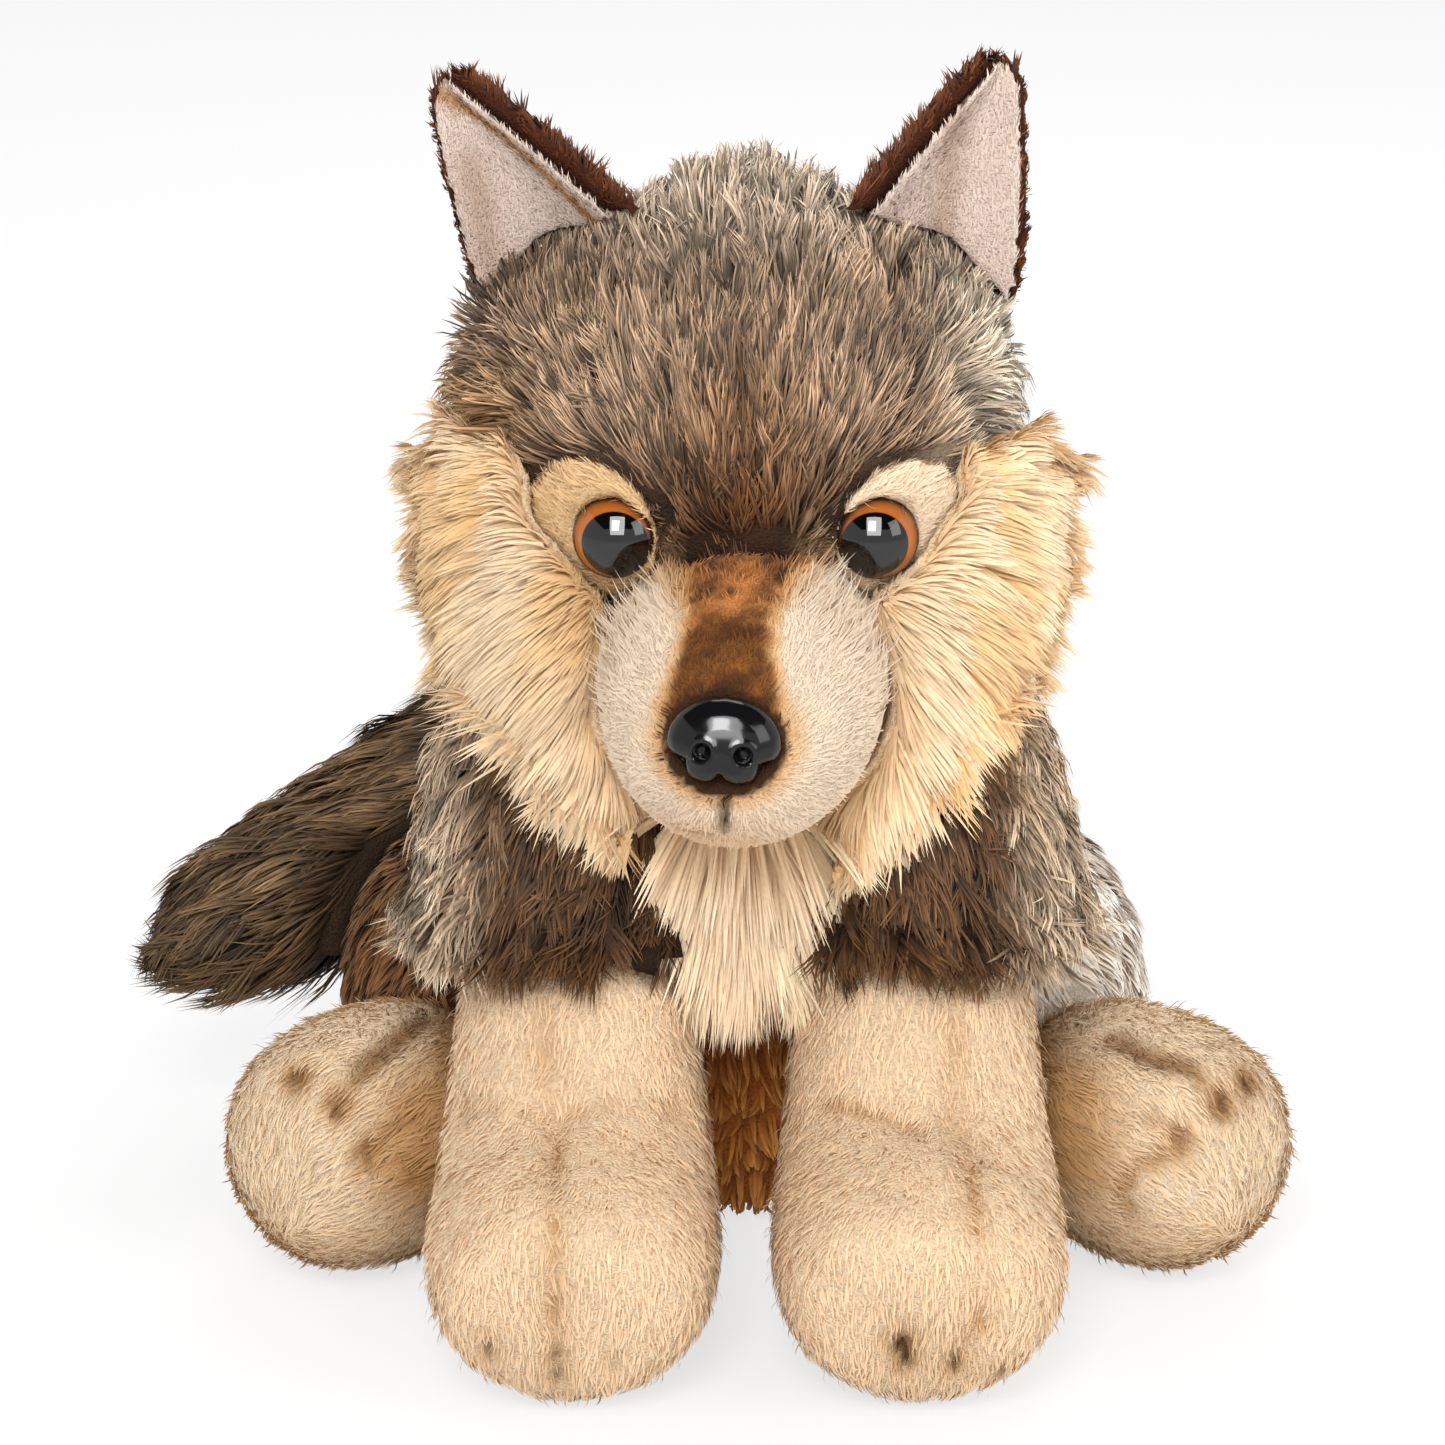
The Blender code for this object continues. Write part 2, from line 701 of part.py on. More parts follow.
# Forelegs
def make_foreleg(name, side):
    """The long-pile sleeve with its ragged hem, and the lower leg and paw that come out of it."""
    shoulder = Vector((side * SHOULDER_SPREAD, SHOULDER_Y, TORSO_HEIGHT - SHOULDER_DROP))
    hem = Vector((side * SLEEVE_SPREAD, SLEEVE_Y, SLEEVE_HEM))
    stations = []
    for share in (0.02, 0.1, 0.24, 0.42, 0.62, 0.82, 1.0):
        girth = math.sqrt(1 - (1 - share) ** 3)
        centre = shoulder.lerp(hem, 1 - (1 - share) ** 2)
        centre.z = shoulder.z + (SLEEVE_HEM - shoulder.z) * share
        half_width = (LEG_HALF_WIDTH + SLEEVE_SIDE_PILE) * girth
        stations.append((centre, half_width, (LEG_HALF_WIDTH + SLEEVE_FRONT_PILE) * girth))
    tuck = Vector((side * LEG_SPREAD, SLEEVE_Y, SLEEVE_HEM + SLEEVE_TUCK))
    stations.append((tuck, LEG_HALF_WIDTH, LEG_HALF_WIDTH))

    def shaggy(angle, number, place_along):
        return 1 + (0.03 if number % 2 else -0.03) * (place_along < 0.99)

    sleeve = loft(name + "_sleeve", grey_pile, stations, sides=24, shape=shaggy, locks=SLEEVE_LOCK)

    leg_top = SLEEVE_HEM + SLEEVE_TUCK
    ankle = PAW_HALF_HEIGHT
    path = (
        (leg_top, 0.0, LEG_HALF_WIDTH, LEG_HALF_WIDTH),
        (leg_top * 0.6, 0.07, LEG_HALF_WIDTH * 1.02, LEG_HALF_WIDTH * 1.02),
        (ankle * 1.13, 0.34, PAW_HALF_WIDTH, PAW_HALF_HEIGHT * 1.07),
        (ankle * 0.98, 0.62, PAW_HALF_WIDTH * 1.03, PAW_HALF_HEIGHT * 1.02),
        (ankle * 0.9, 0.85, PAW_HALF_WIDTH * 0.96, PAW_HALF_HEIGHT * 0.93),
        (ankle * 0.82, 0.96, PAW_HALF_WIDTH * 0.68, PAW_HALF_HEIGHT * 0.68),
    )
    stations = []
    for height, share, half_width, half_depth in path:
        centre = Vector((side * LEG_SPREAD, SLEEVE_Y - PAW_REACH * share, height))
        stations.append((centre, half_width, half_depth))

    def seamed(angle, number, place_along):
        return 1.03 - SEAM_PINCH * (abs(math.sin(angle) - 1) < 0.01)

    paw = loft(name + "_forepaw", cream_pile, stations, sides=12, shape=seamed)
    soften(paw)
    cut(paw, floor_cutter)
    seat(sleeve, torso, head)
    seat(paw, sleeve, torso)
    return sleeve, paw


# Hind legs
def make_hind_leg(name, side, foot_spread):
    """The haunch and the foot that points forward and out from under it."""
    bm = bmesh.new()
    bmesh.ops.create_uvsphere(bm, u_segments=14, v_segments=9, radius=1)
    bmesh.ops.scale(bm, vec=(THIGH_HALF_WIDTH, THIGH_HALF_DEPTH, THIGH_HALF_HEIGHT), verts=bm.verts)
    hip = side * (TORSO_HALF_WIDTH - THIGH_SINK)
    middle = Vector((hip, SEAT_Y, THIGH_HALF_HEIGHT - REST_PRESS))
    bmesh.ops.translate(bm, vec=middle, verts=bm.verts)
    thigh = add_piece(name + "_thigh", bm, brown_pile)
    cut(thigh, floor_cutter)

    ahead = Vector((side * math.sin(FOOT_TURN), -math.cos(FOOT_TURN), 0))
    middle = Vector((side * foot_spread, FOOT_Y, FOOT_RADIUS - REST_PRESS))
    girths = ((-0.5, 0.64), (-0.34, 0.93), (-0.02, 1.09), (0.3, 0.98), (0.47, 0.58))
    stations = [
        (middle + ahead * (FOOT_LENGTH * share), FOOT_RADIUS * girth, FOOT_RADIUS * girth)
        for share, girth in girths
    ]
    foot = loft(name + "_hind_foot", cream_pile, stations)
    soften(foot)
    cut(foot, floor_cutter)
    return thigh, foot


# Tail
def make_tail():
    """The brush: up and out from the rump, round to the wolf's right and down again."""
    root = Vector((0, TORSO_HALF_DEPTH - TAIL_ROOT_TUCK, TAIL_ROOT_HEIGHT))
    stations = []
    for step in range(10):
        share = step / 9
        x = -TAIL_REACH * share
        y = root.y + TAIL_SWEEP * math.sin(math.pi * share**0.75) - TAIL_RETURN * share**1.6
        z = root.z + TAIL_RISE * math.sin(math.pi * min(share / 0.7, 1)) - TAIL_DROOP * share**2.2
        girth = min(1, 0.68 + 1.1 * share) * math.sqrt(max(1 - share**7, 0.12))
        stations.append((Vector((x, y, z)), TAIL_RADIUS * girth, TAIL_RADIUS * girth))

    def shaggy(angle, number, place_along):
        return 1 + (0.04 if number % 2 else -0.04)

    up = Vector((0, 0, 1))
    return loft("tail", grey_pile, stations, hint=up, sides=20, shape=shaggy, locks=TAIL_LOCK)


left_sleeve, left_forepaw = make_foreleg("left", 1)
right_sleeve, right_forepaw = make_foreleg("right", -1)
left_thigh, left_hind_foot = make_hind_leg("left", 1, LEFT_FOOT_SPREAD)
right_thigh, right_hind_foot = make_hind_leg("right", -1, RIGHT_FOOT_SPREAD)
tail = make_tail()
seat(torso, head, muzzle)
for sleeve, paw, thigh, foot in (
    (left_sleeve, left_forepaw, left_thigh, left_hind_foot),
    (right_sleeve, right_forepaw, right_thigh, right_hind_foot),
):
    seat(sleeve, muzzle)
    seat(thigh, torso, sleeve, paw)
    seat(foot, torso, sleeve, paw, thigh)
    seat(tail, thigh, foot, sleeve)
seat(tail, torso)


# Cheek ruffs and the bib
def make_ruff(name, side):
    def rim(angle, number):
        lock = 1 + (RUFF_LOCK if number % 2 else -RUFF_LOCK) / RUFF_HALF_WIDTH
        reach = lock if math.cos(angle) > -0.45 else 1
        width = RUFF_HALF_WIDTH * (1 + 0.1 * math.sin(angle)) * math.cos(angle)
        x = (width + RUFF_SLANT * math.sin(angle)) * reach
        return side * x, RUFF_HALF_LENGTH * math.sin(angle) * (1 + (reach - 1) * 0.5)

    def wrap(x, z):
        outward = max(0, side * x + RUFF_HALF_WIDTH) / (2 * RUFF_HALF_WIDTH)
        return RUFF_SWEEP * outward**1.5

    centre = Vector((side * RUFF_SPREAD, -RUFF_FRONT, -RUFF_DROP))
    ruff = fan(name + "_cheek_ruff", gold_pile, centre, rim, RUFF_THICKNESS, wrap, 2 * RUFF_LOCKS)
    ruff.parent = head_turn
    return ruff


def make_bib():
    def rim(angle, number):
        lock = 1 + (BIB_LOCK if number % 2 else -BIB_LOCK) / BIB_HALF_LENGTH
        reach = lock if math.sin(angle) < 0 else 1
        x = BIB_HALF_WIDTH * math.cos(angle) * (1 + 0.35 * math.sin(angle)) * reach
        return x, BIB_HALF_LENGTH * math.sin(angle) * reach

    centre = Vector((0, -BIB_FRONT, BIB_TOP - BIB_HALF_LENGTH))
    return fan("chest_bib", gold_pile, centre, rim, BIB_THICKNESS, lambda x, z: 0, 2 * BIB_LOCKS)


left_cheek_ruff = make_ruff("left", 1)
right_cheek_ruff = make_ruff("right", -1)
chest_bib = make_bib()
for ruff, patch, socket, sleeve, paw in (
    (left_cheek_ruff, left_brow_patch, left_socket, left_sleeve, left_forepaw),
    (right_cheek_ruff, right_brow_patch, right_socket, right_sleeve, right_forepaw),
):
    seat(ruff, head, muzzle, torso, patch, sleeve)
    cut(ruff, socket)
    seat(chest_bib, ruff, sleeve, paw)
seat(right_cheek_ruff, left_cheek_ruff)
seat(chest_bib, head, muzzle, torso)


# The cuts leave slivers in flat facets: they are joined up again
for piece in wolf.objects:
    if any(modifier.type == "BOOLEAN" for modifier in piece.modifiers):
        joined_facets = piece.modifiers.new("Joined facets", "DECIMATE")
        joined_facets.decimate_type = "DISSOLVE"
        joined_facets.angle_limit = SAME_FACET
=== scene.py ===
"""Looks of the seated plush wolf: fur pile on its stuffed forms, safety eyes and nose, floor, light."""

import math

import bpy
import numpy as np
from mathutils import Matrix, Vector
from mathutils.bvhtree import BVHTree
from mathutils.kdtree import KDTree


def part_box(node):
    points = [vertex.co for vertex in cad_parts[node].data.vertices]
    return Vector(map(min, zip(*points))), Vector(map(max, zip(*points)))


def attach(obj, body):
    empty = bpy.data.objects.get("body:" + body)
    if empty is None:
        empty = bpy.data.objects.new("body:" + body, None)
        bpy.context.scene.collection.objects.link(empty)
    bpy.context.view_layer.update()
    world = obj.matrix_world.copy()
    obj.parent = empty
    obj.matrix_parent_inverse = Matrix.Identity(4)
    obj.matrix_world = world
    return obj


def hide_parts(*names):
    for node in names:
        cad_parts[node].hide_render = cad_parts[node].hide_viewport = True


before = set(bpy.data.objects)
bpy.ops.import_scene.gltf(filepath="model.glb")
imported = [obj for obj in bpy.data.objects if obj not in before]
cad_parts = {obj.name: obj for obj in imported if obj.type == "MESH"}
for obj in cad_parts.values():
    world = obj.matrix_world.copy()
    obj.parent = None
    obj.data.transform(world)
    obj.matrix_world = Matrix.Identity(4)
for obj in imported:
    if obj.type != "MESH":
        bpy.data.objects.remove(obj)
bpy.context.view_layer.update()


# The surface that the wolf sits on and the light round it: white paper under a pale sky, with three
# soft boxes. A fourth box shows only in gloss, as the window in the eyes and the nose, and a black
# cloth over the set keeps the tops of the eyes dark.
FLOOR_REACH = 6.0
FLOOR_SHADE, FLOOR_GLOW = 0.86, 0.72
SKY_LEVEL = 0.78
CEILING_SIZE, CEILING_PLACE = 4.4, (0, -0.9, 1.75)
SOFT_BOXES = (
    ("key_box", (-0.14, -1.2, 0.98), 0.42, 0.6, 13.0),
    ("window_box", (-0.04, -1.25, 1.0), 0.9, 1.2, 30.0),
    ("fill_box", (1.2, -0.9, 0.8), 0.7, 0.9, 6.0),
    ("back_box", (0.2, 1.3, 1.3), 0.9, 0.9, 8.0),
)
LAMPS_AIM = Vector((0, -0.05, 0.14))
VIEW_TARGET = Vector((-0.0054, -0.045, 0.130))
VIEW_DISTANCE = 1.156
VIEW_ELEVATION = math.radians(17)
LENS, SENSOR_WIDTH = 120, 36


def new_finish(name, roughness, colour=(0.8, 0.8, 0.8), gloss=0.5):
    """A plain material, which its piece may then add nodes to."""
    finish = bpy.data.materials.new(name)
    finish.use_nodes = True
    shader = finish.node_tree.nodes["Principled BSDF"]
    shader.inputs["Base Color"].default_value = (*colour, 1)
    shader.inputs["Roughness"].default_value = roughness
    shader.inputs["Specular IOR Level"].default_value = gloss
    return finish


def parts_of(finish):
    """A material's nodes, links and shader."""
    tree = finish.node_tree
    return tree.nodes, tree.links, tree.nodes["Principled BSDF"]


def reckon(nodes, operation):
    node = nodes.new("ShaderNodeMath")
    node.operation = operation
    return node


def seen_or(nodes, links, other):
    """1 for rays from the camera and for one other kind of ray, 0 for the rest."""
    path = nodes.new("ShaderNodeLightPath")
    either = reckon(nodes, "MAXIMUM")
    links.new(path.outputs["Is Camera Ray"], either.inputs[0])
    links.new(path.outputs[other], either.inputs[1])
    return either.outputs[0]


def spread_sheet(name, size, place, finish):
    bpy.ops.object.select_all(action="DESELECT")
    bpy.ops.mesh.primitive_plane_add(size=size, location=place)
    sheet = bpy.context.object
    sheet.name = name
    sheet.data.materials.append(finish)
    return sheet


def lay_floor():
    """Paper that glows where it is seen, so that it shows white and still keeps the shadow."""
    white = new_finish("white_floor", 0.9, (FLOOR_SHADE,) * 3, gloss=0.1)
    nodes, links, paper = parts_of(white)
    share = reckon(nodes, "MULTIPLY")
    share.inputs[1].default_value = FLOOR_GLOW
    glow = nodes.new("ShaderNodeEmission")
    both = nodes.new("ShaderNodeMixShader")
    links.new(seen_or(nodes, links, "Is Glossy Ray"), share.inputs[0])
    links.new(share.outputs[0], both.inputs["Fac"])
    links.new(paper.outputs["BSDF"], both.inputs[1])
    links.new(glow.outputs["Emission"], both.inputs[2])
    links.new(both.outputs["Shader"], nodes["Material Output"].inputs["Surface"])
    spread_sheet("floor", FLOOR_REACH, (0, 0, 0), white)


def light_the_studio():
    world = bpy.data.worlds.new("studio")
    bpy.context.scene.world = world
    world.use_nodes = True
    nodes, links = world.node_tree.nodes, world.node_tree.links
    level = nodes.new("ShaderNodeMapRange")
    level.inputs["To Min"].default_value = SKY_LEVEL
    sky = nodes["Background"]
    sky.inputs["Color"].default_value = (1, 1, 1, 1)
    links.new(seen_or(nodes, links, "Is Transmission Ray"), level.inputs["Value"])
    links.new(level.outputs[0], sky.inputs["Strength"])
    for name, place, width, height, power in SOFT_BOXES:
        bpy.ops.object.light_add(type="AREA", location=place)
        lamp = bpy.context.object
        lamp.name = name
        lamp.data.shape = "RECTANGLE"
        lamp.data.size = width
        lamp.data.size_y = height
        lamp.data.energy = power
        lamp.rotation_euler = (LAMPS_AIM - Vector(place)).to_track_quat("-Z", "Y").to_euler()
        lamp.visible_diffuse = name != "window_box"


def hang_black_ceiling():
    """A black cloth that is seen only in gloss."""
    black = new_finish("black_cloth", 1.0, (0.004,) * 3)
    ceiling = spread_sheet("black_ceiling", CEILING_SIZE, CEILING_PLACE, black)
    for sight in ("visible_camera", "visible_diffuse", "visible_shadow", "visible_transmission"):
        setattr(ceiling, sight, False)


def set_camera():
    bpy.ops.object.camera_add()
    camera = bpy.context.object
    camera.name = "camera"
    camera.data.sensor_width = SENSOR_WIDTH
    camera.data.lens = LENS
    camera.data.clip_end = 20
    back = Vector((0, -math.cos(VIEW_ELEVATION), math.sin(VIEW_ELEVATION)))
    camera.location = VIEW_TARGET + back * VIEW_DISTANCE
    camera.rotation_euler = (-back).to_track_quat("-Z", "Y").to_euler()
    bpy.context.scene.camera = camera
    bpy.context.scene.view_settings.view_transform = "Standard"


lay_floor()
light_the_studio()
hang_black_ceiling()
set_camera()


# Torso: an egg of polyester filling in a cloth skin, sewn of pile fabric. The back is long
# grey-brown pile, the belly a shorter brown one. What makes its backing and pile also serves every
# other stuffed form.
def dye(red, green, blue):
    """A colour of the pile as it is seen, 0 to 255, as linear light."""
    shade = np.array([red, green, blue]) / 255
    return np.where(shade < 0.04045, shade / 12.92, ((shade + 0.055) / 1.055) ** 2.4)


def ramp(low, high, value):
    """From 0 at low to 1 at high, eased at both ends."""
    share = np.clip((value - low) / (high - low), 0, 1)
    return share * share * (3 - 2 * share)


def tint(under, over, share):
    """A colour, or one for each place, with another over it by a share."""
    share = np.clip(np.asarray(share), 0, 1)[..., None]
    return under * (1 - share) + over * share


def layered(colour, *layers):
    """A colour with others laid over it in turn, each by its share."""
    for over, share in layers:
        colour = tint(colour, over, share)
    return colour


def strongest(*marks):
    return np.maximum.reduce(marks)


def spot(points, centre, radii):
    """A soft mark, 1 at its centre and 0.37 at its radii."""
    away = (points - np.array(centre)) / np.array(radii)
    return np.exp(-np.sum(away * away, axis=1))


def line(points, path, width):
    """1 along a path of places, falling off over a width to either side."""
    path = np.array(path)
    nearest = np.full(len(points), np.inf)
    for start, end in zip(path[:-1], path[1:]):
        run = end - start
        share = np.clip((points - start) @ run / (run @ run), 0, 1)[:, None]
        nearest = np.minimum(nearest, np.linalg.norm(points - start - share * run, axis=1))
    return np.exp(-((nearest / width) ** 2))


def mottle(points, pitch, seed):
    """Smooth blotches between -1 and 1, about a pitch apart."""
    chance = np.random.default_rng(seed)
    value = np.zeros(len(points))
    for _ in range(9):
        wave = chance.normal(size=3)
        wave *= math.tau / (pitch * 2 * np.linalg.norm(wave)) * chance.uniform(0.6, 1.5)
        value += np.sin(points @ wave + chance.uniform(0, math.tau))
    return np.clip(value / 4, -1, 1)


def unit(vectors):
    return vectors / np.maximum(np.linalg.norm(vectors, axis=1, keepdims=True), 1e-9)


def along_surface(direction, normals):
    """The part of a direction that lies in the surface, at each root."""
    direction = np.broadcast_to(direction, normals.shape)
    return unit(direction - normals * np.sum(direction * normals, axis=1, keepdims=True))


def stuffed_form(node, voxel, rounds=6):
    """A sewn form's skin, taken off its solid with the facets smoothed out."""
    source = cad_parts[node]
    skin = source.copy()
    skin.data = source.data.copy()
    skin.name = node + "_skin"
    bpy.context.scene.collection.objects.link(skin)
    skin.parent = None
    skin.matrix_world = Matrix.Identity(4)
    bpy.ops.object.select_all(action="DESELECT")
    skin.select_set(True)
    bpy.context.view_layer.objects.active = skin
    bpy.ops.object.mode_set(mode="EDIT")
    bpy.ops.mesh.select_all(action="SELECT")
    bpy.ops.mesh.remove_doubles(threshold=0.00001)
    bpy.ops.object.mode_set(mode="OBJECT")
    remesh = skin.modifiers.new("Even mesh", "REMESH")
    remesh.mode = "VOXEL"
    remesh.voxel_size = voxel
    smooth = skin.modifiers.new("Facets out", "SMOOTH")
    smooth.iterations = rounds
    bpy.ops.object.modifier_apply(modifier=remesh.name)
    bpy.ops.object.modifier_apply(modifier=smooth.name)
    bpy.ops.object.shade_smooth()
    skin.data.materials.clear()
    return skin


def surface_of(node):
    """A node's own solid, to measure distances to."""
    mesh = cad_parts[node].data
    mesh.calc_loop_triangles()
    corners = [triangle.vertices[:] for triangle in mesh.loop_triangles]
    return BVHTree.FromPolygons([vertex.co for vertex in mesh.vertices], corners)


def of_vertices(skin, what):
    values = np.empty(len(skin.data.vertices) * 3)
    skin.data.vertices.foreach_get(what, values)
    return values.reshape(-1, 3)


def sink(skin, depth):
    """Draws the skin in along its normals by a depth, one for all or one for each vertex."""
    depth = np.broadcast_to(depth, len(skin.data.vertices))[:, None]
    moved = of_vertices(skin, "co") - of_vertices(skin, "normal") * depth
    skin.data.vertices.foreach_set("co", moved.ravel())
    skin.data.update()


def off_seams(points, beside, reach):
    """0 where a place meets one of the pieces beside it, up to 1 from a reach away."""
    share = np.ones(len(points))
    for name in beside:
        tree = surface_of(name)
        low, high = (np.array(corner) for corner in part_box(name))
        near = np.all((points > low - reach) & (points < high + reach), axis=1)
        for index in np.nonzero(near)[0]:
            nearest, _, _, distance = tree.find_nearest(Vector(points[index]), reach)
            if nearest is not None:
                share[index] = min(share[index], distance / reach)
    return share


def sow(skin, count, seed, beside, clear, crowding):
    """Roots spread over a skin by its crowding, but not where it is sewn against its neighbours."""
    chance = np.random.default_rng(seed)
    mesh = skin.data
    mesh.calc_loop_triangles()
    spots, facing = of_vertices(skin, "co"), of_vertices(skin, "normal")
    corners = np.empty(len(mesh.loop_triangles) * 3, dtype=np.int32)
    mesh.loop_triangles.foreach_get("vertices", corners)
    corners = corners.reshape(-1, 3)
    a, b, c = (spots[corners[:, corner]] for corner in range(3))
    areas = np.linalg.norm(np.cross(b - a, c - a), axis=1)
    middles = (a + b + c) / 3
    areas[off_seams(middles, beside, clear) < 1] = 0
    if crowding:
        areas *= crowding(middles)
    picks = np.sort(chance.choice(len(corners), count, p=areas / areas.sum()))
    u, v = chance.random(count), chance.random(count)
    over = u + v > 1
    u[over], v[over] = 1 - u[over], 1 - v[over]
    shares = np.stack([1 - u - v, u, v], axis=1)[:, :, None]
    points = np.sum(spots[corners[picks]] * shares, axis=1)
    normals = unit(np.sum(facing[corners[picks]] * shares, axis=1))
    return points, normals


def lock_of(points, per_lock, chance):
    """The lock that each root is in, and the way and distance to that lock's middle."""
    lock_count = max(len(points) // per_lock, 1)
    centres = chance.choice(len(points), lock_count, replace=False)
    tree = KDTree(lock_count)
    for number, centre in enumerate(centres):
        tree.insert(points[centre], number)
    tree.balance()
    lock = np.array([tree.find(point)[1] for point in points])
    way = points[centres[lock]] - points
    return lock, way, np.linalg.norm(way, axis=1, keepdims=True)


LAP_REACH = 0.03


def room_before(points, lie, laps):
    """How far each root may lay its fibre: over the pieces that show only by the lap given."""
    room = np.full(len(points), 1.0)
    for name, lap in laps.items():
        tree = surface_of(name)
        for index, point in enumerate(points):
            nearest, _, _, distance = tree.find_nearest(Vector(point), LAP_REACH)
            if nearest is not None and distance + lap < room[index]:
                towards = (Vector(nearest) - Vector(point)).dot(Vector(lie[index]))
                if towards > 0.2 * distance:
                    room[index] = distance + lap
    return room


# The furthest that a fibre is drawn to the middle of its lock, and of the wide lock round that
LOCK_DRAW, WIDE_LOCK_DRAW = 0.006, 0.008
LOCKS_PER_WIDE_LOCK = 7
FIBRE_TAPER, STRAY_RISE = 0.55, 1.3
PALE_FROM, DARK_UP_TO = 0.72, 0.38
FLOOR_GAP = 0.0004


def lay_pile(
    name, points, normals, lie, length, depth, width, roots, tips, *, stand=None,
    per_lock=16, gather=0.5, wander=0.18, lift=0.2, radius=0.05, sag=0.0, rings=3, tone=0.12,
    parted=0.3, rounded=0.5, stray=0.0, flecked=0.0, seed=1,
):
    """Fibres from under each point: up through the pile, then over along its lie in locks.

    Each is a tapered sliver of rings pairs of points and a tip, coloured from root to tip. None
    reaches under the floor, where the toy's weight presses it flat. Locks differ in turn (wander),
    lift and tone, and are drawn together (gather). Fibres at their edges, where they part, lie lower
    and get painted shade (parted). A share of fibres stands higher (stray), and some are
    pale or dark (flecked).
    """
    chance = np.random.default_rng(seed)
    count = len(points)
    length = np.broadcast_to(length, count) * chance.uniform(0.8, 1.15, count)
    depth = np.broadcast_to(depth, count)
    lock, pull, reach = lock_of(points, per_lock, chance)
    _, wide_pull, wide_reach = lock_of(points, per_lock * LOCKS_PER_WIDE_LOCK, chance)
    lock_count = lock.max() + 1
    lock_turn = chance.normal(size=(lock_count, 3)) * wander
    lock_length = chance.uniform(0.8, 1.2, lock_count)
    lock_lift = 1 + chance.normal(size=lock_count) * lift
    lock_tone = chance.normal(size=lock_count) * tone
    heading = lie + lock_turn[lock] + chance.normal(size=(count, 3)) * wander * 0.45
    heading = unit(heading - normals * np.sum(heading * normals, axis=1, keepdims=True))
    length = length * lock_length[lock]
    rise = (depth if stand is None else stand) * lock_lift[lock] * chance.uniform(0.85, 1.15, count)
    rise *= 1 + STRAY_RISE * (chance.random(count) < stray)
    base = points - normals * depth[:, None]
    pull = pull * np.minimum(1, LOCK_DRAW / np.maximum(reach, 1e-9)) * gather
    pull += wide_pull * np.minimum(1, WIDE_LOCK_DRAW / np.maximum(wide_reach, 1e-9)) * gather * 0.35
    outer = np.clip(reach[:, 0] / (2.2 * np.median(reach)), 0, 1)
    across = np.cross(normals, heading)
    roll = chance.uniform(-0.7, 0.7, count)[:, None]
    across = across * np.cos(roll) + normals * np.sin(roll)
    widths = np.broadcast_to(width, count) * chance.uniform(0.7, 1.3, count)
    shares = np.linspace(0, 1, rings + 1)
    per = 2 * rings + 1
    spots = np.empty((count, per, 3))
    shades = np.empty((count, per, 4))
    facing = np.empty((count, per, 3))
    cells = math.ceil(math.sqrt(count))
    column, row = np.arange(count) % cells, np.arange(count) // cells
    print_at = np.empty((count, per, 2))
    # Fibres at the edges of their locks lie lower and get painted shade
    fibre_tone = 1 + lock_tone[lock] + chance.normal(size=count) * tone * 0.7 - parted * (outer - 0.4)
    fleck = chance.random(count)
    fibre_tone += flecked * ((fleck > PALE_FROM) * 1.0 - (fleck < DARK_UP_TO))
    for ring, share in enumerate(shares):
        run = (length * share)[:, None]
        up = (rise * (1 - (1 - share) ** 1.7))[:, None] - run**2 / (2 * radius)
        middle = base + heading * run + normals * up + pull * share**1.5
        middle[:, 2] -= sag * (length * share**2)
        middle[:, 2] = np.maximum(middle[:, 2], FLOOR_GAP)
        half = across * (widths * (1 - FIBRE_TAPER * share) / 2)[:, None]
        shade = tint(roots, tips, share**1.2) * np.clip(fibre_tone, 0.3, 1.9)[:, None]
        if ring < rings:
            for side, offset in ((-1, 0), (1, 1)):
                corner = 2 * ring + offset
                spots[:, corner] = middle + side * half
                facing[:, corner] = unit(normals + rounded * side * across)
                shades[:, corner, :3] = shade
                print_at[:, corner, 0] = (column + 0.5 + 0.38 * side) / cells
                print_at[:, corner, 1] = (row + 0.1 + 0.8 * share) / cells
        else:
            spots[:, -1] = middle
            facing[:, -1] = normals
            shades[:, -1, :3] = shade
            print_at[:, -1, 0] = (column + 0.5) / cells
            print_at[:, -1, 1] = (row + 0.9) / cells
    shades[:, :, 3] = 1
    shades = np.clip(shades, 0, 1)

    pattern = []
    for ring in range(rings - 1):
        pattern += [2 * ring, 2 * ring + 2, 2 * ring + 3, 2 * ring + 1]
    pattern += [per - 3, per - 1, per - 2]
    sizes = [4] * (rings - 1) + [3]
    corners = (np.arange(count)[:, None] * per + np.array(pattern)).ravel().astype(np.int32)
    totals = np.tile(np.array(sizes, dtype=np.int32), count)
    starts = np.concatenate([[0], np.cumsum(totals)[:-1]]).astype(np.int32)
    mesh = bpy.data.meshes.new(name)
    mesh.vertices.add(count * per)
    mesh.loops.add(len(corners))
    mesh.polygons.add(len(totals))
    mesh.vertices.foreach_set("co", spots.ravel())
    mesh.loops.foreach_set("vertex_index", corners)
    mesh.polygons.foreach_set("loop_start", starts)
    mesh.polygons.foreach_set("loop_total", totals)
    mesh.update(calc_edges=True)
    colour = mesh.color_attributes.new("pile_colour", "FLOAT_COLOR", "POINT")
    colour.data.foreach_set("color", shades.ravel())
    bake_map = mesh.uv_layers.new(name="OFBake")
    bake_map.data.foreach_set("uv", print_at.reshape(-1, 2)[corners].ravel())
    mesh.polygons.foreach_set("use_smooth", np.ones(len(totals), dtype=bool))
    mesh.normals_split_custom_set_from_vertices(facing.reshape(-1, 3))
    pile = bpy.data.objects.new(name, mesh)
    bpy.context.scene.collection.objects.link(pile)
    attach(pile, "root")
    return pile


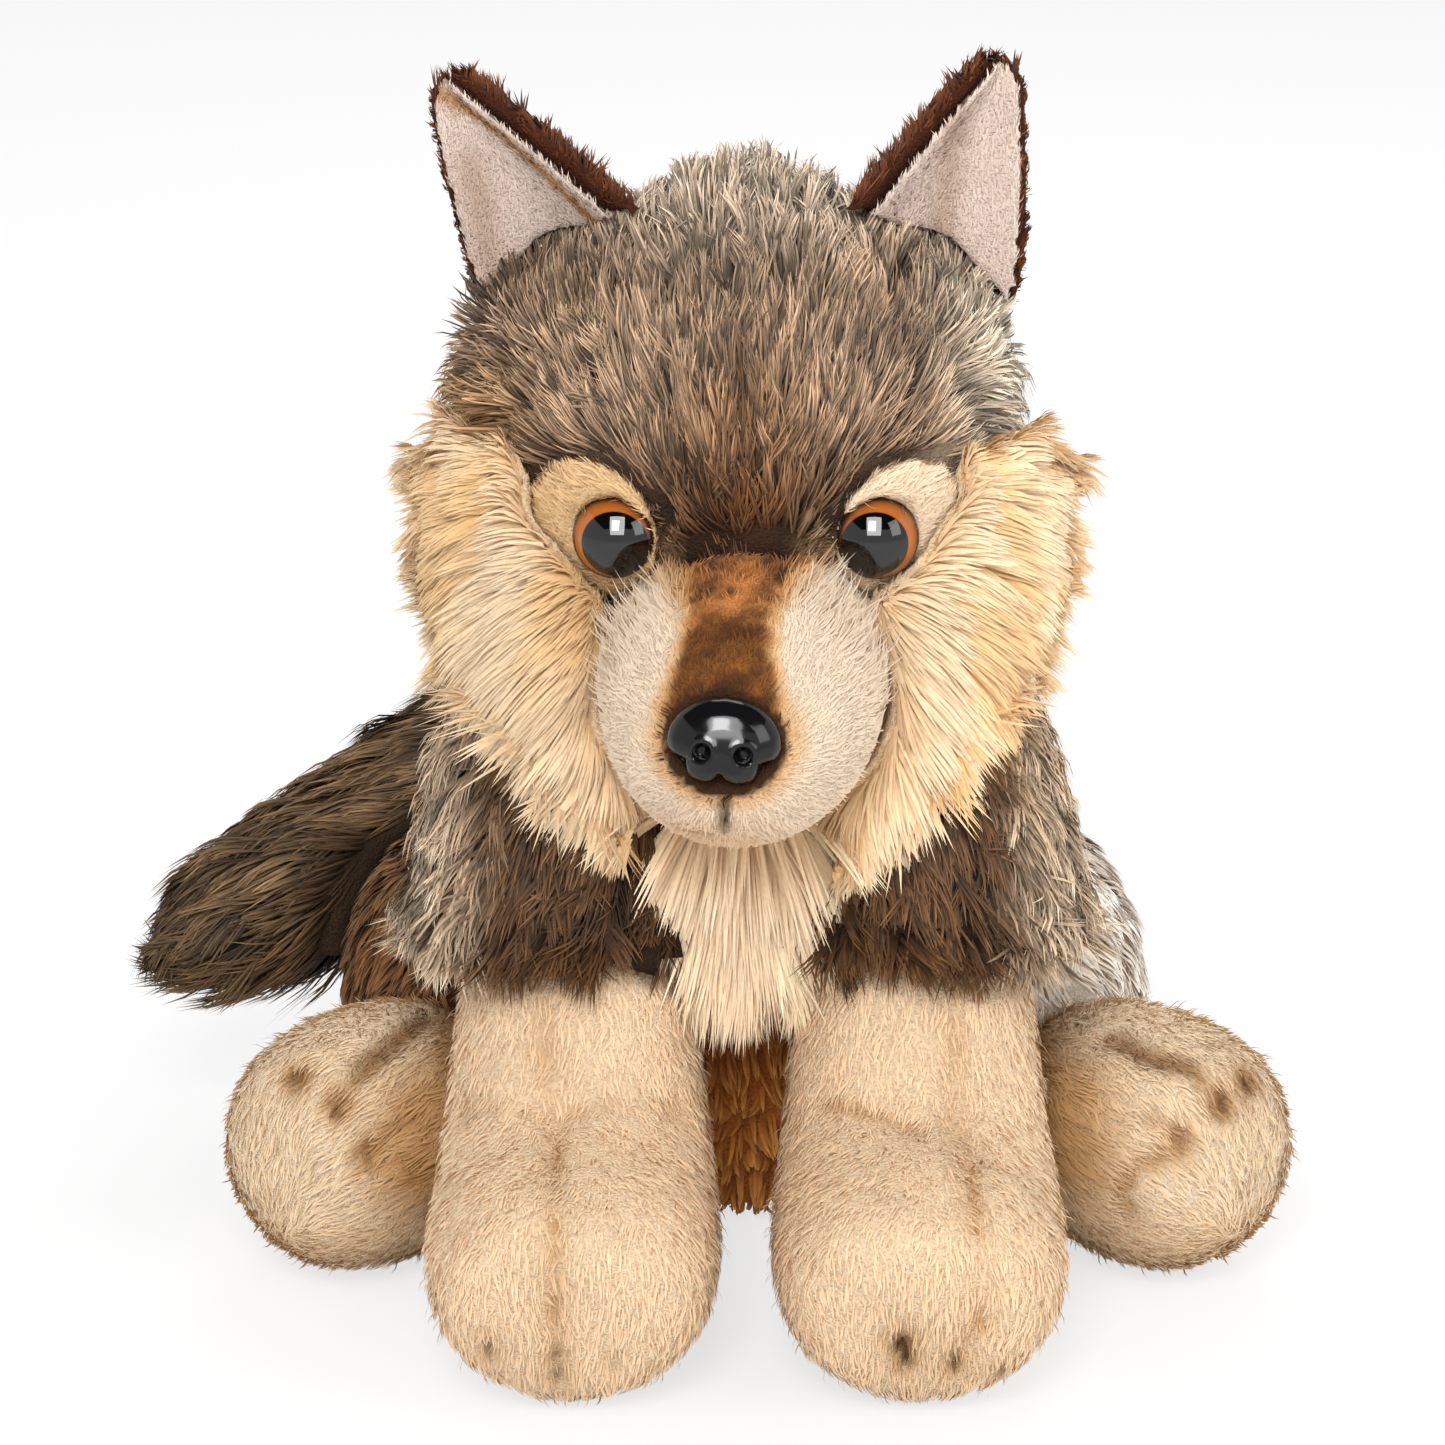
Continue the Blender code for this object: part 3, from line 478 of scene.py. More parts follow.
def fibre_grain():
    """Shared grain of the fibres: fine light and dark flecks that multiply the dyed colour."""
    group = bpy.data.node_groups.new("fibre_grain", "ShaderNodeTree")
    for label, way, kind in (
        ("Colour", "INPUT", "Color"), ("Scale", "INPUT", "Float"), ("Depth", "INPUT", "Float"),
        ("Colour", "OUTPUT", "Color"), ("Height", "OUTPUT", "Float"),
    ):
        group.interface.new_socket(name=label, in_out=way, socket_type="NodeSocket" + kind)
    nodes, links = group.nodes, group.links
    given = nodes.new("NodeGroupInput")
    result = nodes.new("NodeGroupOutput")
    place = nodes.new("ShaderNodeTexCoord")
    flecks = nodes.new("ShaderNodeTexNoise")
    flecks.inputs["Detail"].default_value = 3
    spread = nodes.new("ShaderNodeMapRange")
    spread.inputs["From Min"].default_value = 0.3
    spread.inputs["From Max"].default_value = 0.7
    darker = nodes.new("ShaderNodeMix")
    darker.data_type = "RGBA"
    darker.blend_type = "MULTIPLY"
    darker.inputs["B"].default_value = (0.5, 0.42, 0.34, 1)
    depth = reckon(nodes, "MULTIPLY")
    links.new(place.outputs["Object"], flecks.inputs["Vector"])
    links.new(given.outputs["Scale"], flecks.inputs["Scale"])
    links.new(flecks.outputs["Fac"], spread.inputs["Value"])
    links.new(spread.outputs["Result"], depth.inputs[0])
    links.new(given.outputs["Depth"], depth.inputs[1])
    links.new(depth.outputs[0], darker.inputs["Factor"])
    links.new(given.outputs["Colour"], darker.inputs["A"])
    links.new(darker.outputs["Result"], result.inputs["Colour"])
    links.new(spread.outputs["Result"], result.inputs["Height"])
    return group


grain = fibre_grain()


def pile_finish(name, grain_scale, grain_depth, roughness, sheen, bumpy=False):
    """Dyed pile: the colour painted on the fibres, with the fleck of the fibre in it."""
    finish = new_finish(name, roughness, gloss=0.14)
    nodes, links, cloth = parts_of(finish)
    cloth.inputs["Sheen Weight"].default_value = sheen
    cloth.inputs["Sheen Roughness"].default_value = 0.45
    dyed = nodes.new("ShaderNodeAttribute")
    dyed.attribute_name = "pile_colour"
    flecked = nodes.new("ShaderNodeGroup")
    flecked.node_tree = grain
    flecked.inputs["Scale"].default_value = grain_scale
    flecked.inputs["Depth"].default_value = grain_depth
    links.new(dyed.outputs["Color"], flecked.inputs["Colour"])
    links.new(flecked.outputs["Colour"], cloth.inputs["Base Color"])
    if bumpy:
        bump = nodes.new("ShaderNodeBump")
        bump.inputs["Distance"].default_value = 0.0006
        links.new(flecked.outputs["Height"], bump.inputs["Height"])
        links.new(bump.outputs["Normal"], cloth.inputs["Normal"])
    return finish


long_pile = pile_finish("long_pile", 900, 0.25, 0.6, 0.03)
short_pile = pile_finish("short_pile", 1100, 0.1, 0.85, 0.05)
backing_cloth = pile_finish("backing_cloth", 1400, 0.5, 0.95, 0.0, bumpy=True)


SEAM_REACH = 0.006


def finish_skin(skin, node, colours):
    """The backing under the pile, dyed as the pile's roots are."""
    colour = skin.data.color_attributes.new("pile_colour", "FLOAT_COLOR", "POINT")
    shades = np.ones((len(skin.data.vertices), 4))
    shades[:, :3] = colours
    colour.data.foreach_set("color", np.clip(shades, 0, 1).ravel())
    skin.data.materials.append(backing_cloth)
    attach(skin, "root")
    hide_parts(node)


def cover(
    node, count, slot, pattern, *, depth, width, beside, voxel=0.003, laps=None, finish=long_pile,
    clear=0.0012, skin_share=0.1, rounds=6, creases=(), crowding=None, seed=1, **laying,
):
    """Skin and pile of one sewn form.

    pattern gives each root's lie, length, root colour and tip colour. beside names the pieces that
    it is sewn against, laps how far its fibres lie over a piece, and creases the lines pulled in.
    """
    skin = stuffed_form(node, voxel, rounds)
    for path, reach, pressed in creases:
        sink(skin, line(of_vertices(skin, "co"), path, reach) * pressed)
    points, normals = sow(skin, count, seed, beside, clear, crowding)
    lie, length, roots, tips = pattern(points, normals)
    if laps:
        length = np.minimum(length, room_before(points, lie, laps))
    if callable(laying.get("stand")):
        laying["stand"] = laying["stand"](points)
    pile = lay_pile(
        node + "_pile", points, normals, lie, length, depth, width, roots, tips, seed=seed + 100,
        **laying,
    )
    pile.data.materials.append(finish)
    _, _, under, over = pattern(of_vertices(skin, "co"), of_vertices(skin, "normal"))
    sink(skin, depth * (0.15 + 0.85 * off_seams(of_vertices(skin, "co"), beside, SEAM_REACH)))
    finish_skin(skin, node, under + (over - under) * skin_share)


DOWN = np.array([0, 0, -1.0])


def torso_pattern(points, normals):
    """Long and grey-brown behind, at the sides and above, short and orange-brown at the belly."""
    back = ramp(-0.2, 0.35, normals[:, 1] + 0.9 * np.abs(normals[:, 0]) + 0.6 * (points[:, 2] > 0.14))
    lie = along_surface(DOWN + np.array([0, 0.25, 0]), normals)
    length = 0.0045 + 0.0135 * back
    light = (1 + mottle(points, 0.02, 3) * 0.25)[:, None]
    roots = tint(dye(206, 118, 50), dye(62, 46, 34), back)
    tips = tint(dye(248, 176, 94), dye(168, 140, 112), back)
    return lie, length, roots * light, tips * light


cover(
    "torso", 9000, "mid_brown_pile", torso_pattern, depth=0.0045, width=0.0013, radius=0.06,
    beside=(
        "head", "left_sleeve", "right_sleeve", "left_thigh", "right_thigh", "tail", "left_forepaw",
        "right_forepaw",
    ),
    tone=0.1, flecked=0.12, voxel=0.0045, rounds=12, seed=11,
)


# Thighs: haunches stuffed firm and sewn on at the sides of the torso, of the belly's shorter pile in
# beige-brown. The wolf's left one is dyed paler in front, as in the photo
def thigh_pattern(points, normals):
    out = np.array([1.0, 0, 0]) * np.sign(points[:, :1])
    lie = along_surface(DOWN * 0.7 + out * 0.5 + np.array([0, -0.2, 0]), normals)
    light = (1 + mottle(points, 0.018, 5) * 0.15)[:, None]
    behind = ramp(-0.01, 0.025, points[:, 1])
    pale = ramp(-0.02, 0.04, points[:, 0]) * (1 - behind * 0.6)
    roots = tint(dye(82, 50, 26), dye(224, 208, 190), pale) * light
    tips = tint(dye(146, 102, 62), dye(254, 246, 236), pale) * light
    tips = tint(tips, dye(176, 144, 110), behind * 0.6)
    return lie, np.full(len(points), 0.008), roots, tips


for side in ("left", "right"):
    cover(
        side + "_thigh", 6000, "mid_brown_pile", thigh_pattern, depth=0.0025, width=0.001,
        beside=("torso", side + "_sleeve", side + "_forepaw", side + "_hind_foot", "tail"),
        rings=2, tone=0.13, rounds=12, seed=21,
    )


# Tail: a brush of the long grey-brown pile over a light stuffing, sewn on behind the rump. It lies on
# the floor to the wolf's right, and its pile is combed towards the darker tip
def tail_pattern(points, normals):
    x = points[:, 0]
    bend = [-0.15, -0.08, 0.0]
    back, up = np.interp(x, bend, [-0.5, -0.2, 0.7]), np.interp(x, bend, [-0.4, -0.15, 0.3])
    lie = along_surface(np.stack([-np.ones(len(x)), back, up], axis=1), normals)
    stretched = points * np.array([0.5, 1, 1])
    light = (1 + mottle(stretched, 0.009, 7) * 0.3 - ramp(-0.11, -0.155, x) * 0.55)[:, None]
    length = 0.019 - 0.006 * ramp(-0.125, -0.15, x)
    return lie, length, dye(48, 34, 23) * light, dye(142, 112, 78) * light


cover(
    "tail", 9500, "grey_brown_long_pile", tail_pattern, depth=0.005, width=0.001,
    beside=("torso", "right_thigh", "right_hind_foot"), radius=0.06, tone=0.2, flecked=0.3, sag=0.05,
    rounds=12, seed=31,
)


# Hind feet: stuffed firm, of cream short pile. Each is drawn in by three toe stitches and the folds
# that they pull, airbrushed brown, and its inner side is the thigh's brown pile
CREAM_ROOT, CREAM_TIP = dye(232, 200, 158), dye(244, 224, 196)
OCHRE, UMBER = dye(198, 144, 72), dye(84, 50, 20)
SHORT_PILE = dict(
    finish=short_pile, rings=2, tone=0.02, parted=0.02, stand=0.0012, skin_share=0.75, rounded=0.05,
    wander=0.2, per_lock=8, gather=0.1, stray=0.05,
)
FOOT_STITCHES = {
    "right": ((-0.1062, -0.086, 0.0557), (-0.0955, -0.0935, 0.0518), (-0.0868, -0.0982, 0.0405)),
    "left": ((0.1198, -0.0826, 0.0530), (0.1125, -0.0902, 0.0508), (0.1015, -0.0978, 0.0430)),
}
FOOT_FOLDS = {
    "right": (
        (
            (-0.0757, -0.0597, 0.0612), (-0.0836, -0.0763, 0.0603), (-0.0901, -0.0863, 0.0573),
            (-0.0943, -0.0914, 0.0537),
        ),
        ((-0.087, -0.0984, 0.0403), (-0.0813, -0.0945, 0.0445), (-0.077, -0.09, 0.047)),
        (
            (-0.0868, -0.0984, 0.0403), (-0.079, -0.0956, 0.0376), (-0.0735, -0.09, 0.030),
            (-0.071, -0.086, 0.022),
        ),
    ),
    "left": (
        (
            (0.0871, -0.0728, 0.0605), (0.0958, -0.0826, 0.0592), (0.1051, -0.0855, 0.0582),
            (0.1107, -0.0906, 0.0521),
        ),
        ((0.1028, -0.098, 0.0425), (0.0991, -0.0975, 0.046), (0.094, -0.095, 0.049)),
        (
            (0.1028, -0.098, 0.0412), (0.0915, -0.0983, 0.0376), (0.0875, -0.0965, 0.031),
            (0.0885, -0.0974, 0.022),
        ),
    ),
}


def foot_pattern(points, normals):
    side = np.sign(points[:, :1])
    ahead = np.concatenate([side * 0.6, -0.8 * np.ones_like(side), -0.3 * np.ones_like(side)], axis=1)
    lie = along_surface(ahead, normals)
    light = (1 + mottle(points, 0.012, 9) * 0.04)[:, None]
    reach, height = np.abs(points[:, 0]), points[:, 2]
    low = ramp(0.03, 0.012, height) * 0.35
    inner = ramp(0.095, 0.074, reach) * ramp(0.062, 0.05, height) * ramp(0.015, 0.035, height)
    inner = strongest(inner, ramp(0.077, 0.07, reach)) * 0.8
    stitches, halo = np.zeros(len(points)), np.zeros(len(points))
    for place in FOOT_STITCHES["right"] + FOOT_STITCHES["left"]:
        stitches = strongest(stitches, spot(points, place, (0.0017, 0.003, 0.0026)))
        halo = strongest(halo, spot(points, place, (0.0046, 0.006, 0.005)))
    for path in FOOT_FOLDS["right"] + FOOT_FOLDS["left"]:
        halo = strongest(halo, line(points, path, 0.0024) * 0.75)
        stitches = strongest(stitches, line(points, path, 0.0009) * 0.35)
    fold = 0.8 * strongest(
        line(points, FOOT_FOLDS["right"][0][:3], 0.0028), line(points, FOOT_FOLDS["left"][0][:3], 0.003)
    )
    tips = layered(
        CREAM_TIP, (dye(226, 186, 134), low), (dye(218, 168, 96), inner), (OCHRE, halo),
        (dye(140, 96, 52), fold), (UMBER, stitches * 1.2),
    )
    roots = layered(
        CREAM_ROOT, (dye(212, 166, 110), low), (dye(168, 116, 60), inner), (dye(170, 112, 48), halo),
        (dye(112, 70, 32), fold), (dye(58, 32, 12), stitches * 1.3),
    )
    return lie, 0.0032 + 0.006 * inner, roots * light, tips * light


for side in ("left", "right"):
    folds = [(path, 0.0024, 0.0016) for path in FOOT_FOLDS[side]]
    tucks = [(((x, y, z), (x, y, z + 0.0005)), 0.003, 0.0014) for x, y, z in FOOT_STITCHES[side]]
    cover(
        side + "_hind_foot", 9500, "cream_short_pile", foot_pattern, depth=0.001, width=0.00045,
        beside=("torso", side + "_thigh", side + "_sleeve", side + "_forepaw"),
        **SHORT_PILE, voxel=0.0026, rounds=12, creases=folds + tucks, seed=41,
    )


# Forelegs: cream short pile below, a shaggy grey-brown sleeve above. A seam runs down the middle of
# each leg and over the paw, with a crease at the wrist and brown toe stitches
RIGHT_SEAM = (
    (-0.0475, -0.113, 0.0922), (-0.0466, -0.1148, 0.0735), (-0.0432, -0.1304, 0.0599),
    (-0.0429, -0.1645, 0.0475), (-0.0431, -0.1649, 0.0255), (-0.0424, -0.1602, 0.0102),
)
LEFT_SEAM = (
    (0.0485, -0.113, 0.0922), (0.0484, -0.1148, 0.0734), (0.0475, -0.1285, 0.0604),
    (0.0502, -0.1361, 0.0576), (0.0509, -0.1602, 0.0497), (0.0522, -0.1639, 0.0251),
    (0.0487, -0.1631, 0.0206), (0.0456, -0.1606, 0.0116),
)
RIGHT_WRIST = ((-0.0665, -0.1123, 0.0577), (-0.0441, -0.1262, 0.0615), (-0.0145, -0.115, 0.0587))
LEFT_WRIST = ((0.0175, -0.1171, 0.0611), (0.0303, -0.1256, 0.0617), (0.0391, -0.1295, 0.0604))
HEM_HEIGHT = 0.104
# Each toe stitch's place, size and strength
TOES = (
    ((-0.0578, -0.162, 0.0191), 0.0016, 0.8), ((-0.0424, -0.1634, 0.0175), 0.0016, 0.8),
    ((-0.0424, -0.1605, 0.0115), 0.0016, 0.7), ((-0.0297, -0.1622, 0.017), 0.0011, 0.5),
    ((0.0346, -0.1636, 0.0208), 0.0023, 1.25), ((0.0356, -0.1626, 0.0176), 0.0021, 1.1),
    ((0.0466, -0.1618, 0.0155), 0.0017, 1.0), ((0.0574, -0.1588, 0.0123), 0.0015, 0.5),
)


def paw_pattern(points, normals):
    lie = along_surface(DOWN + np.array([0, -0.35, 0]), normals)
    light = (1 + mottle(points, 0.014, 13) * 0.04)[:, None]
    seam = strongest(line(points, RIGHT_SEAM, 0.0014), line(points, LEFT_SEAM, 0.0014)) * 0.85
    beside = strongest(line(points, RIGHT_SEAM, 0.004), line(points, LEFT_SEAM, 0.004)) * 0.35
    wrist = strongest(line(points, RIGHT_WRIST, 0.003) * 0.5, line(points, LEFT_WRIST, 0.0018)) * 0.75
    mark, halo = np.zeros(len(points)), np.zeros(len(points))
    for place, size, strength in TOES:
        mark = strongest(mark, spot(points, place, (size * 0.8, 0.003, size * 1.3)) * strength)
        halo = strongest(halo, spot(points, place, (size * 2, 0.006, size * 2.6)) * strength * 0.7)
    shade = strongest(seam, beside, wrist, halo)
    tips = layered(dye(246, 222, 190), (dye(204, 158, 98), shade), (UMBER, mark))
    roots = layered(dye(238, 200, 158), (dye(182, 128, 66), shade), (dye(64, 36, 14), mark * 1.1))
    return lie, np.full(len(points), 0.0032), roots * light, tips * light


def sleeve_pattern(points, normals):
    side = np.sign(points[:, :1])
    spread = np.concatenate([side * 0.25, -0.1 * np.ones_like(side), 0 * side], axis=1)
    lie = along_surface(DOWN + spread, normals)
    out = ramp(0.052, 0.074, np.abs(points[:, 0]))
    light = mottle(points * np.array([1, 1, 0.5]), 0.01, 17) * 0.3
    # Painted light and shade: the wolf's left sleeve is made lighter and its right one darker
    light = (1 + light + 0.12 * ramp(-0.02, 0.02, points[:, 0]) - 0.06)[:, None]
    roots = tint(dye(30, 17, 8), dye(146, 118, 90), out) * light
    tips = tint(dye(118, 82, 50), dye(238, 214, 184), out) * light
    return lie, np.full(len(points), 0.0135), roots, tips


def sleeve_stand(points):
    """The pile stands higher over the seam of the hem, and hides it."""
    return 0.005 + 0.004 * np.exp(-(((points[:, 2] - HEM_HEIGHT) / 0.006) ** 2))


for side, seam, wrist in (("left", LEFT_SEAM, LEFT_WRIST), ("right", RIGHT_SEAM, RIGHT_WRIST)):
    cover(
        side + "_forepaw", 13500, "cream_short_pile", paw_pattern, depth=0.001, width=0.00045,
        beside=(side + "_sleeve", "torso", side + "_hind_foot", side + "_thigh"),
        **SHORT_PILE, voxel=0.0023, rounds=14,
        creases=((seam, 0.002, 0.0013), (wrist, 0.004, 0.0012)), seed=51,
    )
    cover(
        side + "_sleeve", 11500, "grey_brown_long_pile", sleeve_pattern, depth=0.005, width=0.0009,
        beside=("torso", side + "_forepaw", side + "_thigh", "head"), radius=0.045, stand=sleeve_stand,
        wander=0.32, per_lock=12, tone=0.16, flecked=0.3, sag=0.1, voxel=0.0025, rounds=60,
        clear=0.0008, seed=61,
    )


# Head: a stuffed egg of long salt-and-pepper pile, darker down the parting and at the brow, where
# the dark band over the muzzle is partly the fur's own colour and partly painted shade. The face
# pieces are placed from the head's own middle, which is turned a little to the wolf's right
HEAD_MIDDLE = np.array([0, -0.051, 0.207])
HEAD_TURN = math.radians(-2.5)


def on_face(points):
    """Points in the head's own frame: across, back and up from its middle."""
    away = points - HEAD_MIDDLE
    across = away[:, 0] * math.cos(HEAD_TURN) + away[:, 1] * math.sin(HEAD_TURN)
    back = away[:, 1] * math.cos(HEAD_TURN) - away[:, 0] * math.sin(HEAD_TURN)
    return np.stack([across, back, away[:, 2]], axis=1)


LEFT_EAR_FOOT = (
    (0.0287, -0.066, 0.2582), (0.0353, -0.0613, 0.2549), (0.0448, -0.0547, 0.2513),
    (0.0508, -0.0515, 0.2453), (0.0565, -0.0541, 0.2387), (0.0596, -0.0536, 0.2351),
)
RIGHT_EAR_FOOT = (
    (-0.0338, -0.0651, 0.2566), (-0.0406, -0.0545, 0.2522), (-0.0465, -0.0508, 0.2498),
    (-0.0536, -0.0487, 0.2423), (-0.0578, -0.0507, 0.2368), (-0.0605, -0.0488, 0.2329),
)
HEAD_FLOW_SOURCE = HEAD_MIDDLE + np.array([0.002, -0.066, -0.075])


def head_pattern(points, normals):
    """Combed up and back from the nose, out and down past the ears, and down behind."""
    face = on_face(points)
    x, y, z = face.T
    beside = np.abs(x)
    flow = points - HEAD_FLOW_SOURCE
    flow[:, 0] *= 1 + 1.2 * ramp(0.012, 0.035, beside) * ramp(0.04, 0.01, z)
    flow[:, 2] *= 1 - 1.6 * ramp(0.036, 0.06, beside) * ramp(0.04, 0.0, z)
    flow[:, 2] -= 0.06 * ramp(0.0, 0.06, y)
    lie = along_surface(flow, normals)
    length = 0.017 - 0.004 * ramp(-0.02, -0.05, y)
    length -= 0.005 * ramp(0.028, 0.04, beside) * ramp(0.02, 0.035, z)
    length += 0.005 * ramp(-0.044, -0.058, x) * ramp(0.042, 0.03, z)
    light = mottle(points, 0.007, 19) * 0.25 + mottle(points, 0.016, 20) * 0.25 - 0.06
    light = (1 + light + 0.5 * ramp(0.035, 0.053, z))[:, None]
    # The brow's dark brown is partly the fur's own colour and partly painted shade where it meets the
    # muzzle
    brow = spot(face, (0.002, -0.066, -0.016), (0.024, 0.05, 0.017))
    parting = spot(face, (0.001, -0.045, 0.012), (0.0026, 0.08, 0.03))
    tan = spot(face, (0.002, -0.06, 0.008), (0.014, 0.05, 0.016)) * 0.7
    left = ramp(0.036, 0.058, x)
    right = ramp(-0.036, -0.058, x) * ramp(0.025, 0.0, z)
    crown = ramp(0.032, 0.05, z)
    cheek = ramp(-0.012, -0.022, z) * ramp(0.011, 0.018, beside) * ramp(-0.005, -0.025, y)
    roots = layered(
        dye(40, 28, 20), (dye(168, 148, 124), left), (dye(124, 88, 54), right), (dye(92, 60, 36), tan),
        (dye(56, 44, 34), crown * 0.7), (dye(40, 22, 11), strongest(brow, parting)),
        (dye(226, 180, 122), cheek),
    )
    tips = layered(
        dye(188, 156, 126), (dye(236, 220, 198), left), (dye(202, 182, 160), crown * 0.8),
        (dye(210, 162, 108), right), (dye(178, 134, 88), tan), (dye(128, 80, 42), brow * 0.95),
        (dye(78, 50, 28), parting * 0.9), (dye(250, 222, 182), cheek),
    )
    return lie, length, roots * light, tips * light


def at_ears(places, width):
    return strongest(line(places, LEFT_EAR_FOOT, width), line(places, RIGHT_EAR_FOOT, width))


def head_crowding(places):
    """Fuller in front, and at the feet of the ears."""
    return 1.5 - ramp(-0.09, -0.03, places[:, 1]) + 1.5 * at_ears(places, 0.005)


def crown_stand(points):
    """The pile stands up in a tuft on top of the head, over the feet of the ears and at one side."""
    face = on_face(points)
    tuft = spot(face, (-0.001, -0.01, 0.056), (0.017, 0.035, 0.014))
    flank = ramp(-0.044, -0.058, face[:, 0]) * ramp(0.042, 0.03, face[:, 2])
    return 0.0042 + 0.007 * tuft + 0.005 * flank + 0.003 * at_ears(points, 0.006)


FACE_PIECES = ("left_brow_patch", "right_brow_patch", "left_eye", "right_eye")
cover(
    "head", 30000, "grey_brown_long_pile", head_pattern, depth=0.0045, width=0.0007,
    beside=(
        "torso", "muzzle", "left_cheek_ruff", "right_cheek_ruff", "left_ear_back", "right_ear_back",
        "left_ear_lining", "right_ear_lining",
    ) + FACE_PIECES,
    laps=dict.fromkeys(FACE_PIECES, 0.0012) | {"left_ear_lining": 0.008, "right_ear_lining": 0.008},
    radius=0.05, stand=crown_stand, per_lock=12, gather=0.45, wander=0.22, tone=0.2, parted=0.35,
    flecked=0.5, rounds=10, clear=0.0005, crowding=head_crowding, seed=71,
)


# Brow patches: cream short pile, let into the head round the eyes and combed up and out. The eyes'
# shanks go through them
def brow_pattern(points, normals):
    face = on_face(points)
    side = np.sign(face[:, :1])
    lie = along_surface(np.concatenate([side * 0.8, 0 * side, 0.6 + 0 * side], axis=1), normals)
    pale = ramp(-0.01, 0.01, face[:, 0])
    roots = tint(dye(214, 172, 120), dye(236, 206, 170), pale)
    tips = tint(dye(238, 206, 160), dye(252, 232, 204), pale)
    return lie, np.full(len(points), 0.0028), roots, tips


for side in ("left", "right"):
    cover(
        side + "_brow_patch", 3500, "cream_short_pile", brow_pattern, depth=0.0008, width=0.0004,
        beside=("head", side + "_eye", side + "_cheek_ruff", "muzzle"), laps={side + "_eye": 0.0016},
        **SHORT_PILE, voxel=0.0012, rounds=12, clear=0.0002, seed=81,
    )


# Muzzle: a stuffed cone of short cream pile, sewn to the face. It is airbrushed brown down the bridge
# to the nose, with ochre edges, a dark line round the nose and a stitched mouth below it
MUZZLE_CORE = HEAD_MIDDLE + np.array([-0.003, -0.11, -0.049])
BRIDGE_BACK = [-0.118, -0.109, -0.101, -0.092, -0.082, -0.07, -0.06]
BRIDGE_HALF_WIDTH = [0.0125, 0.0118, 0.0095, 0.0088, 0.0104, 0.0124, 0.0145]
NOSE_MIDDLE = np.array([0, -0.1146, -0.0446])
MOUTH = ((-0.0051, -0.1697, 0.1508), (-0.0051, -0.1641, 0.1415))
MOUTH_CORNER = ((-0.0079, -0.1593, 0.1385), (-0.0125, -0.1565, 0.1392), (-0.0155, -0.153, 0.140))


def muzzle_corners(face, start, end):
    """1 in the corners between the muzzle and the eyes, where the pile is long and stands up."""
    x, y, z = face.T
    return ramp(start, end, y) * ramp(0.009, 0.016, np.abs(x)) * ramp(-0.055, -0.038, z)


def muzzle_pattern(points, normals):
    face = on_face(points)
    x, y, z = face.T
    outward = (points - MUZZLE_CORE) / 0.03
    behind = ramp(-0.086, -0.07, y)
    corners = muzzle_corners(face, -0.086, -0.07)
    over = np.stack([1.3 * np.sign(x), np.full(len(x), -0.9), np.full(len(x), 1.4)], axis=1)
    lie = np.array([0, 1.0, 0]) + (0.3 + 0.5 * behind)[:, None] * outward + corners[:, None] * over
    lie = along_surface(lie, normals)
    light = (1 + mottle(points, 0.01, 23) * 0.04)[:, None]
    chin = spot(face, (-0.003, -0.1, -0.074), (0.014, 0.03, 0.012)) * 0.5
    top = ramp(-0.051, -0.037, z)
    middle = np.interp(y, [-0.109, -0.08], [-0.0011, 0.0008])
    edge = np.abs(x - middle) / np.interp(y, BRIDGE_BACK, BRIDGE_HALF_WIDTH)
    edge += mottle(points, 0.004, 27) * 0.08
    stripe = ramp(1.12, 0.8, edge) * top
    halo = ramp(1.5, 1.0, edge) * top * 0.9
    patch = ramp(-0.091, -0.097, y + mottle(points, 0.005, 33) * 0.002) * stripe
    fore = ramp(-0.1, -0.112, y)
    ring = np.hypot(x / 0.0128, (z - NOSE_MIDDLE[2]) / 0.0108)
    around = ramp(1.6, 1.05, ring) * fore * 0.8
    ochre = strongest(halo, around, chin)
    dark = strongest(ramp(1.14, 1.02, ring) * fore, line(points, MOUTH, 0.0013) * 1.1)
    corner = line(points, MOUTH_CORNER, 0.0014) * 0.8
    blotch = mottle(points, 0.0032, 25)[:, None]
    tips = layered(
        dye(240, 220, 196), (dye(222, 168, 102), ochre),
        (dye(182, 120, 66) * (1 + 0.8 * blotch), stripe), (dye(126, 76, 30) * (1 + 0.6 * blotch), patch),
        (dye(64, 38, 18), dark), (dye(190, 148, 96), corner),
    )
    roots = layered(
        dye(238, 214, 186), (dye(206, 148, 80), ochre), (dye(136, 80, 34) * (1 + 0.8 * blotch), stripe),
        (dye(76, 42, 16), patch), (dye(40, 22, 9), dark), (dye(160, 112, 62), corner),
    )
    length = 0.0026 + 0.002 * behind + 0.0045 * strongest(behind * top, corners)
    return lie, length, roots * light, tips * light


def muzzle_stand(points):
    return 0.0006 + 0.0028 * muzzle_corners(on_face(points), -0.088, -0.074)


def muzzle_crowding(points):
    return 1 + 2 * muzzle_corners(on_face(points), -0.088, -0.074)


cover(
    "muzzle", 16500, "cream_short_pile", muzzle_pattern, depth=0.0007, width=0.00036,
    beside=("head", "nose", "left_cheek_ruff", "right_cheek_ruff", "chest_bib", "torso") + FACE_PIECES,
    laps={"left_eye": 0.002, "right_eye": 0.002}, voxel=0.0018, rounds=14, clear=0.0003,
    **dict(SHORT_PILE, stand=muzzle_stand, tone=0.01, rounded=0, skin_share=0.85),
    crowding=muzzle_crowding, creases=((MOUTH, 0.0012, 0.0011), (MOUTH_CORNER, 0.0018, 0.0008)), seed=91,
)


# Cheek ruffs and the bib: long gold pile in loose locks, sewn round the face and under the chin. The
# ruffs sweep out and down in a fan, and the bib falls to a point between the sleeves
RUFF_FLOW_SOURCE = HEAD_MIDDLE + np.array([0.002, -0.055, -0.028])
RUFF_HALF_HEIGHT, RUFF_HALF_WIDTH = 0.054, 0.025


